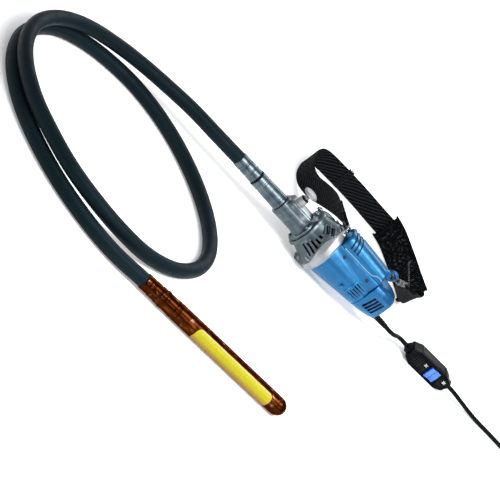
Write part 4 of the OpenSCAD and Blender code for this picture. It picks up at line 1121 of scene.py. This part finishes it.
STRAP_ROUTE = [
    (13, 28, 119, 64), (8, 52, 113, 58), (3, 82, 104, 50), (-1, 115, 92, 42), (-6, 150, 76, 34),
    (-14, 185, 58, 26), (-26, 222, 38, 14), (-40, 258, 27, 2), (-48, 292, 25, 0), (-47, 328, 25, 0),
    (-40, 362, 25, 0), (-24, 388, 25, 0), (0, 398, 25, 0), (35, 402, 25, 0), (70, 404, 25, 0),
    (110, 404, 25, 0), (150, 398, 26, 0), (185, 386, 30, 0), (212, 368, 35, 0), (230, 345, 35, 0),
    (246, 320, 35, 0), (262, 295, 35, 0), (277, 268, 35, 0), (290, 240, 35, 4), (291, 212, 38, 12),
    (279, 185, 45, 22), (263, 158, 56, 32), (246, 128, 70, 40), (230, 98, 84, 48), (217, 68, 97, 56),
    (206, 44, 108, 63), (196, 27, 117, 68),
]
WEBBING_W = 50
SPAN_STEPS = 24
PAD_SPAN = (17, 24.5)
PAD_LIFT = 9.4
PAD_LOWEST_Z = 35.3


def band_frames(points):
    """For each point of [x, y, z, lean]: its centre, its edge direction and its face direction."""
    out = []
    for i, q in enumerate(points):
        run = unit(points[min(i + 1, len(points) - 1)][:3] - points[max(i - 1, 0)][:3])
        side = unit(np.cross([run[0], run[1], 0], [0, 0, 1]))
        lean = math.radians(q[3])
        up = math.cos(lean) * np.array([0, 0, 1]) - math.sin(lean) * side
        edge = unit(up - (up @ run) * run)
        out.append((q[:3], edge, unit(np.cross(run, edge))))
    return out


def band(frames, half_w, half_t, across, shift):
    """A flat band with soft edges. shift(i, v) moves the middle surface along the face."""
    rings = []
    for i, (centre, edge, face) in enumerate(frames):
        ring = []
        for side in (1, -1):
            for v in side * (2 * np.arange(across + 1) / across - 1):
                thin = half_t * (1 - 0.75 * max(0.0, (abs(v) - 0.88) / 0.12) ** 2)
                ring.append(centre + edge * v * half_w + face * (shift(i, v) - side * thin))
        rings.append(ring)
    return loft(rings)


def make_webbing():
    across = 16
    path = evenly(spline_points(STRAP_ROUTE, SPAN_STEPS), 1.75)
    frames = band_frames(path)
    along = arc_lengths(path)

    def ripple(i, v):
        ribs = 0.34 * math.sin(along[i] / 1.35 - 4.5 * v) * (1 - abs(v) ** 6)
        return ribs + 0.5 * math.sin(along[i] / 43 + 2 * v)

    shape = band(frames, WEBBING_W / 2 - 0.3, 1.25, across, ripple)
    uv = []
    for j in (j for face in shape[1] for j in face):
        i, k = divmod(j, 2 * (across + 1))
        uv.append((along[i] * MM, min(k, 2 * across + 1 - k) / across * WEBBING_W * MM))
    strap = piece("strap_webbing_band", shape, WEBBING, ["strap_webbing"], uv=uv, sharp=60)
    for name, first in (("strap_front_fold", 2), ("strap_rear_fold", len(frames) - 30)):
        sew_on(name, frames[first:first + 28])
    make_strap_ends(frames)
    make_slider(frames)


def sew_on(name, frames):
    """A second layer of webbing on a stretch of the strap."""
    across, ring_gap, yarn_w = 12, 0.0018, 0.1
    shape = band(frames, WEBBING_W / 2 - 1.2, 1.1, across, lambda i, v: 2.7)
    sides = 2 * (across + 1)
    uv = [(ring_gap * (j // sides), (j % sides) / sides * yarn_w) for face in shape[1] for j in face]
    piece(name, shape, WEBBING, uv=uv, sharp=60)


def make_strap_ends(frames):
    """The webbing is gathered into the front ring and the hook's eye, and stitched back on itself."""
    loops = []
    for (centre, edge, face), target in ((frames[0], (16, 18.4, 119)), (frames[-1], (189.6, 22, 121.6))):
        target = np.array(target, float)
        outward = unit(target - centre)
        for t in np.linspace(-0.9, 0.9, 3):
            start = centre + edge * t * 17
            path = [start - outward * 3, start + outward * 1, target * 0.7 + start * 0.3, target]
            loops.append(ring_tube(path, 2.1, 10))
    piece("strap_end_gathers", joined(*loops), TAPE)
    stitches = []
    for index in (24, 27, len(frames) - 26, len(frames) - 23):
        centre, edge, face = frames[index]
        for t in np.linspace(-0.85, 0.85, 15):
            for lift in (4.0, -1.6):
                middle = centre + edge * t * 24 + face * lift
                stitches.append(ring_tube([middle - edge * 1.1, middle, middle + edge * 1.1], 0.35, 6))
    piece("strap_stitches", joined(*stitches), TAPE)


def make_slider(frames):
    """Plastic ladder-lock on the webbing, open where the webbing stands on the floor."""
    low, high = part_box("strap_slider")
    middle = (low + high) / 2 / MM
    foot_z, top_z = 1.4, 51.4

    def post(foot, radius, count):
        return ring_tube([(foot[0], foot[1], z) for z in np.linspace(foot_z, top_z, count)], radius, 10)

    centre, edge, face = min(frames, key=lambda q: abs(q[0][0] - middle[0]) + abs(q[0][1] - middle[1]))
    run = np.cross(edge, face)
    bars = [post(centre + face * side * 3.0, 1.3, 12) for side in (-1, 1)]
    for offset in (-5, 0, 5):
        top = centre + run * offset
        over = np.array([top[0], top[1], top_z + 0.2])
        bars.append(ring_tube([over + face * t for t in (-3.6, -1.2, 1.2, 3.6)], 1.5, 10))
        bars += [post(top + face * side * 3.2, 1.15, 10) for side in (-1, 1)]
    piece("strap_slider_frame", joined(*bars), DARK, ["strap_slider"])


def pad_frames():
    """Frames along the pad's stretch of the strap, at the height that its CAD solid keeps to."""
    first, last = (round(t * SPAN_STEPS) for t in PAD_SPAN)
    points = spline_points(STRAP_ROUTE, SPAN_STEPS)[first:last + 1]
    points[:, 2] = np.maximum(points[:, 2], PAD_LOWEST_Z)
    return band_frames(evenly(points, 5))


def pad_shape(frames):
    """The pad before it is stuffed: a flat cushion with round ends."""
    half_w, half_t, n = 34.2, 3.8, len(frames)
    rings = []
    for i, (centre, edge, face) in enumerate(frames):
        end = min(1.0, 0.35 + 0.65 * math.sin(math.pi / 2 * min(1, min(i, n - 1 - i) / 3)))
        ring = []
        for t in around(40):
            c, s = math.cos(t), math.sin(t)
            w = half_w * math.copysign(abs(c) ** 0.28, c)
            h = half_t * math.copysign(abs(s) ** 0.55, s) * end
            ring.append(centre + edge * w + face * (PAD_LIFT + h))
        rings.append(ring)
    return loft(rings)


def make_pad():
    """Padded shoulder piece: a remeshed form swollen by a cloth simulation, with bound edges."""
    frames = pad_frames()
    pad = piece("shoulder_pad_cushion", pad_shape(frames), PILE, ["shoulder_pad"], sharp=180)
    remesh = pad.modifiers.new("remesh", "REMESH")
    remesh.mode, remesh.voxel_size = "VOXEL", 0.0035
    applied(pad)
    shade_smooth(pad.data)
    swell(pad, 0.0022)
    smooth = pad.modifiers.new("smooth", "SUBSURF")
    smooth.levels = smooth.render_levels = 1
    applied(pad)
    bind_pad(frames)


def swell(obj, cap):
    """Blows a piece up with Cloth, and lets no point move further than the cap, in metres."""
    rest = np.array([v.co for v in obj.data.vertices])
    cloth = obj.modifiers.new("cloth", "CLOTH")
    cloth.settings.use_pressure = True
    cloth.settings.uniform_pressure_force = 4
    cloth.settings.effector_weights.gravity = 0
    cloth.settings.quality = 5
    scene = bpy.context.scene
    for number in range(1, 21):
        scene.frame_set(number)
    graph = bpy.context.evaluated_depsgraph_get()
    shift = np.array([v.co for v in obj.evaluated_get(graph).data.vertices]) - rest
    obj.modifiers.clear()
    scene.frame_set(1)
    length = np.linalg.norm(shift, axis=1, keepdims=True)
    result = rest + shift * np.minimum(1, cap / np.maximum(length, 1e-9))
    result[:, 2] = np.maximum(result[:, 2], 0.0002)
    obj.data.vertices.foreach_set("co", result.astype(np.float32).ravel())
    obj.data.update()


def bind_pad(frames):
    """Tape sewn over the pad's edges, a bar across each end, and a slanting double row of stitches."""
    tapes = []
    for side in (-1, 1):
        line = [centre + edge * side * 32.7 + face * PAD_LIFT for centre, edge, face in frames]
        tapes.append(ring_tube([(x, y, max(z, 2.3)) for x, y, z in line], 2.1, 12))
    for centre, edge, face in (frames[2], frames[-3]):
        bar = [centre + edge * t * 31 + face * (PAD_LIFT + 4.4) for t in np.linspace(-1, 1, 14)]
        tapes.append(ring_tube(bar, 1.3, 8))
    bound = joined(*tapes)
    uv = [(p * 0.0004, 0.01 * (p % 7)) for face in bound[1] for p in face]
    piece("shoulder_pad_binding", bound, TAPE, uv=uv)
    stitches = []
    for row in (0.35, 0.43):
        for i, (centre, edge, face) in enumerate(frames[-22:-8]):
            run = np.cross(edge, face)
            slant = 0.045 * (i - 7)
            middle = centre - edge * 34 * (row - 0.6 + slant) + face * (PAD_LIFT + 5.6)
            stitches.append(ring_tube([middle - run * 1.6, middle + face * 0.3, middle + run * 1.6], 0.55, 6))
    piece("shoulder_pad_stitches", joined(*stitches), NICKEL)


def make_hook():
    """Snap hook: open ring with a swivelling body. The gate closes the ring."""
    centre, heading, up = np.array((161.5, 0, 123.0)), 38, np.array((0, 0, 1))
    arc = ring_tube(circle_path(centre, 10.5, "z", 60, -23, 248), 2.5)
    toward = np.array((math.cos(math.radians(heading)), math.sin(math.radians(heading)), 0))
    profile = [(9.5, 0.01), (9.5, 5.2), (13, 6.2), (17, 6.2), (18.5, 5), (21, 5), (22.5, 6.3), (27, 6.3),
               (29, 5.2), (30, 0.01)]
    barrel = turned(profile, 1.0, 48, at(*centre) @ spin(heading, "Z") @ at(0, 0, -1.5))
    eye_at = centre + toward * 33 - 1.5 * up
    eye_path = [eye_at + 5.2 * (math.cos(t) * toward + math.sin(t) * up) for t in around(40)]
    eye = ring_tube(eye_path, 1.9, 12, closed=True)
    piece("snap_hook_casting", joined(arc, barrel, eye), ZINC, ["snap_hook"])

# ------------ the making, camera and cords first

make_camera()
make_stage()
make_hose()
make_lead()
make_coupling()
make_neck()
make_lock()
make_fan_housing()
make_housing_details()
make_bracket()
make_motor_housing()
make_top_cover()
make_rear_cover()
make_webbing()
make_pad()
make_hook()

# CAD nodes that stay as they are

dress(STEEL, "bright_steel", "lock_pin", "lock_spring", "front_bearing", "rear_bearing", "armature_shaft",
      "poker_bearings", "flex_core")
dress(STEEL, "bright_steel", "drive_dog", edge=0.3)
# the cover screws take the navy painted shade, to sit dark as in shadow
dress(NAVY_PAINTED_SHADE, "black_steel", "cover_screws", edge=0.5)
dress(LEAD, "lead_rubber", "coupler_seal", "poker_seals")
dress(DARK, "dark_plastic", "bearing_bridge", "cooling_fan", "air_baffle", edge=0.4)
dress(LAMINATION, "lamination", "armature_core", "stator_core", "eccentric_weight", edge=0.3)
dress(COPPER, "copper", "field_coils", "commutator", edge=0.8)
dress(CARBON, "carbon", "carbon_brushes", edge=0.2)
dress(BRASS, "pin_metal", "brush_holders", edge=0.3)
dress(NICKEL, "pin_metal", "switch_contacts", "plug_pins", edge=0.3)
dress(BOARD, "circuit", "control_module", edge=0.3)
dress(ZINC, "zinc", "snap_gate")
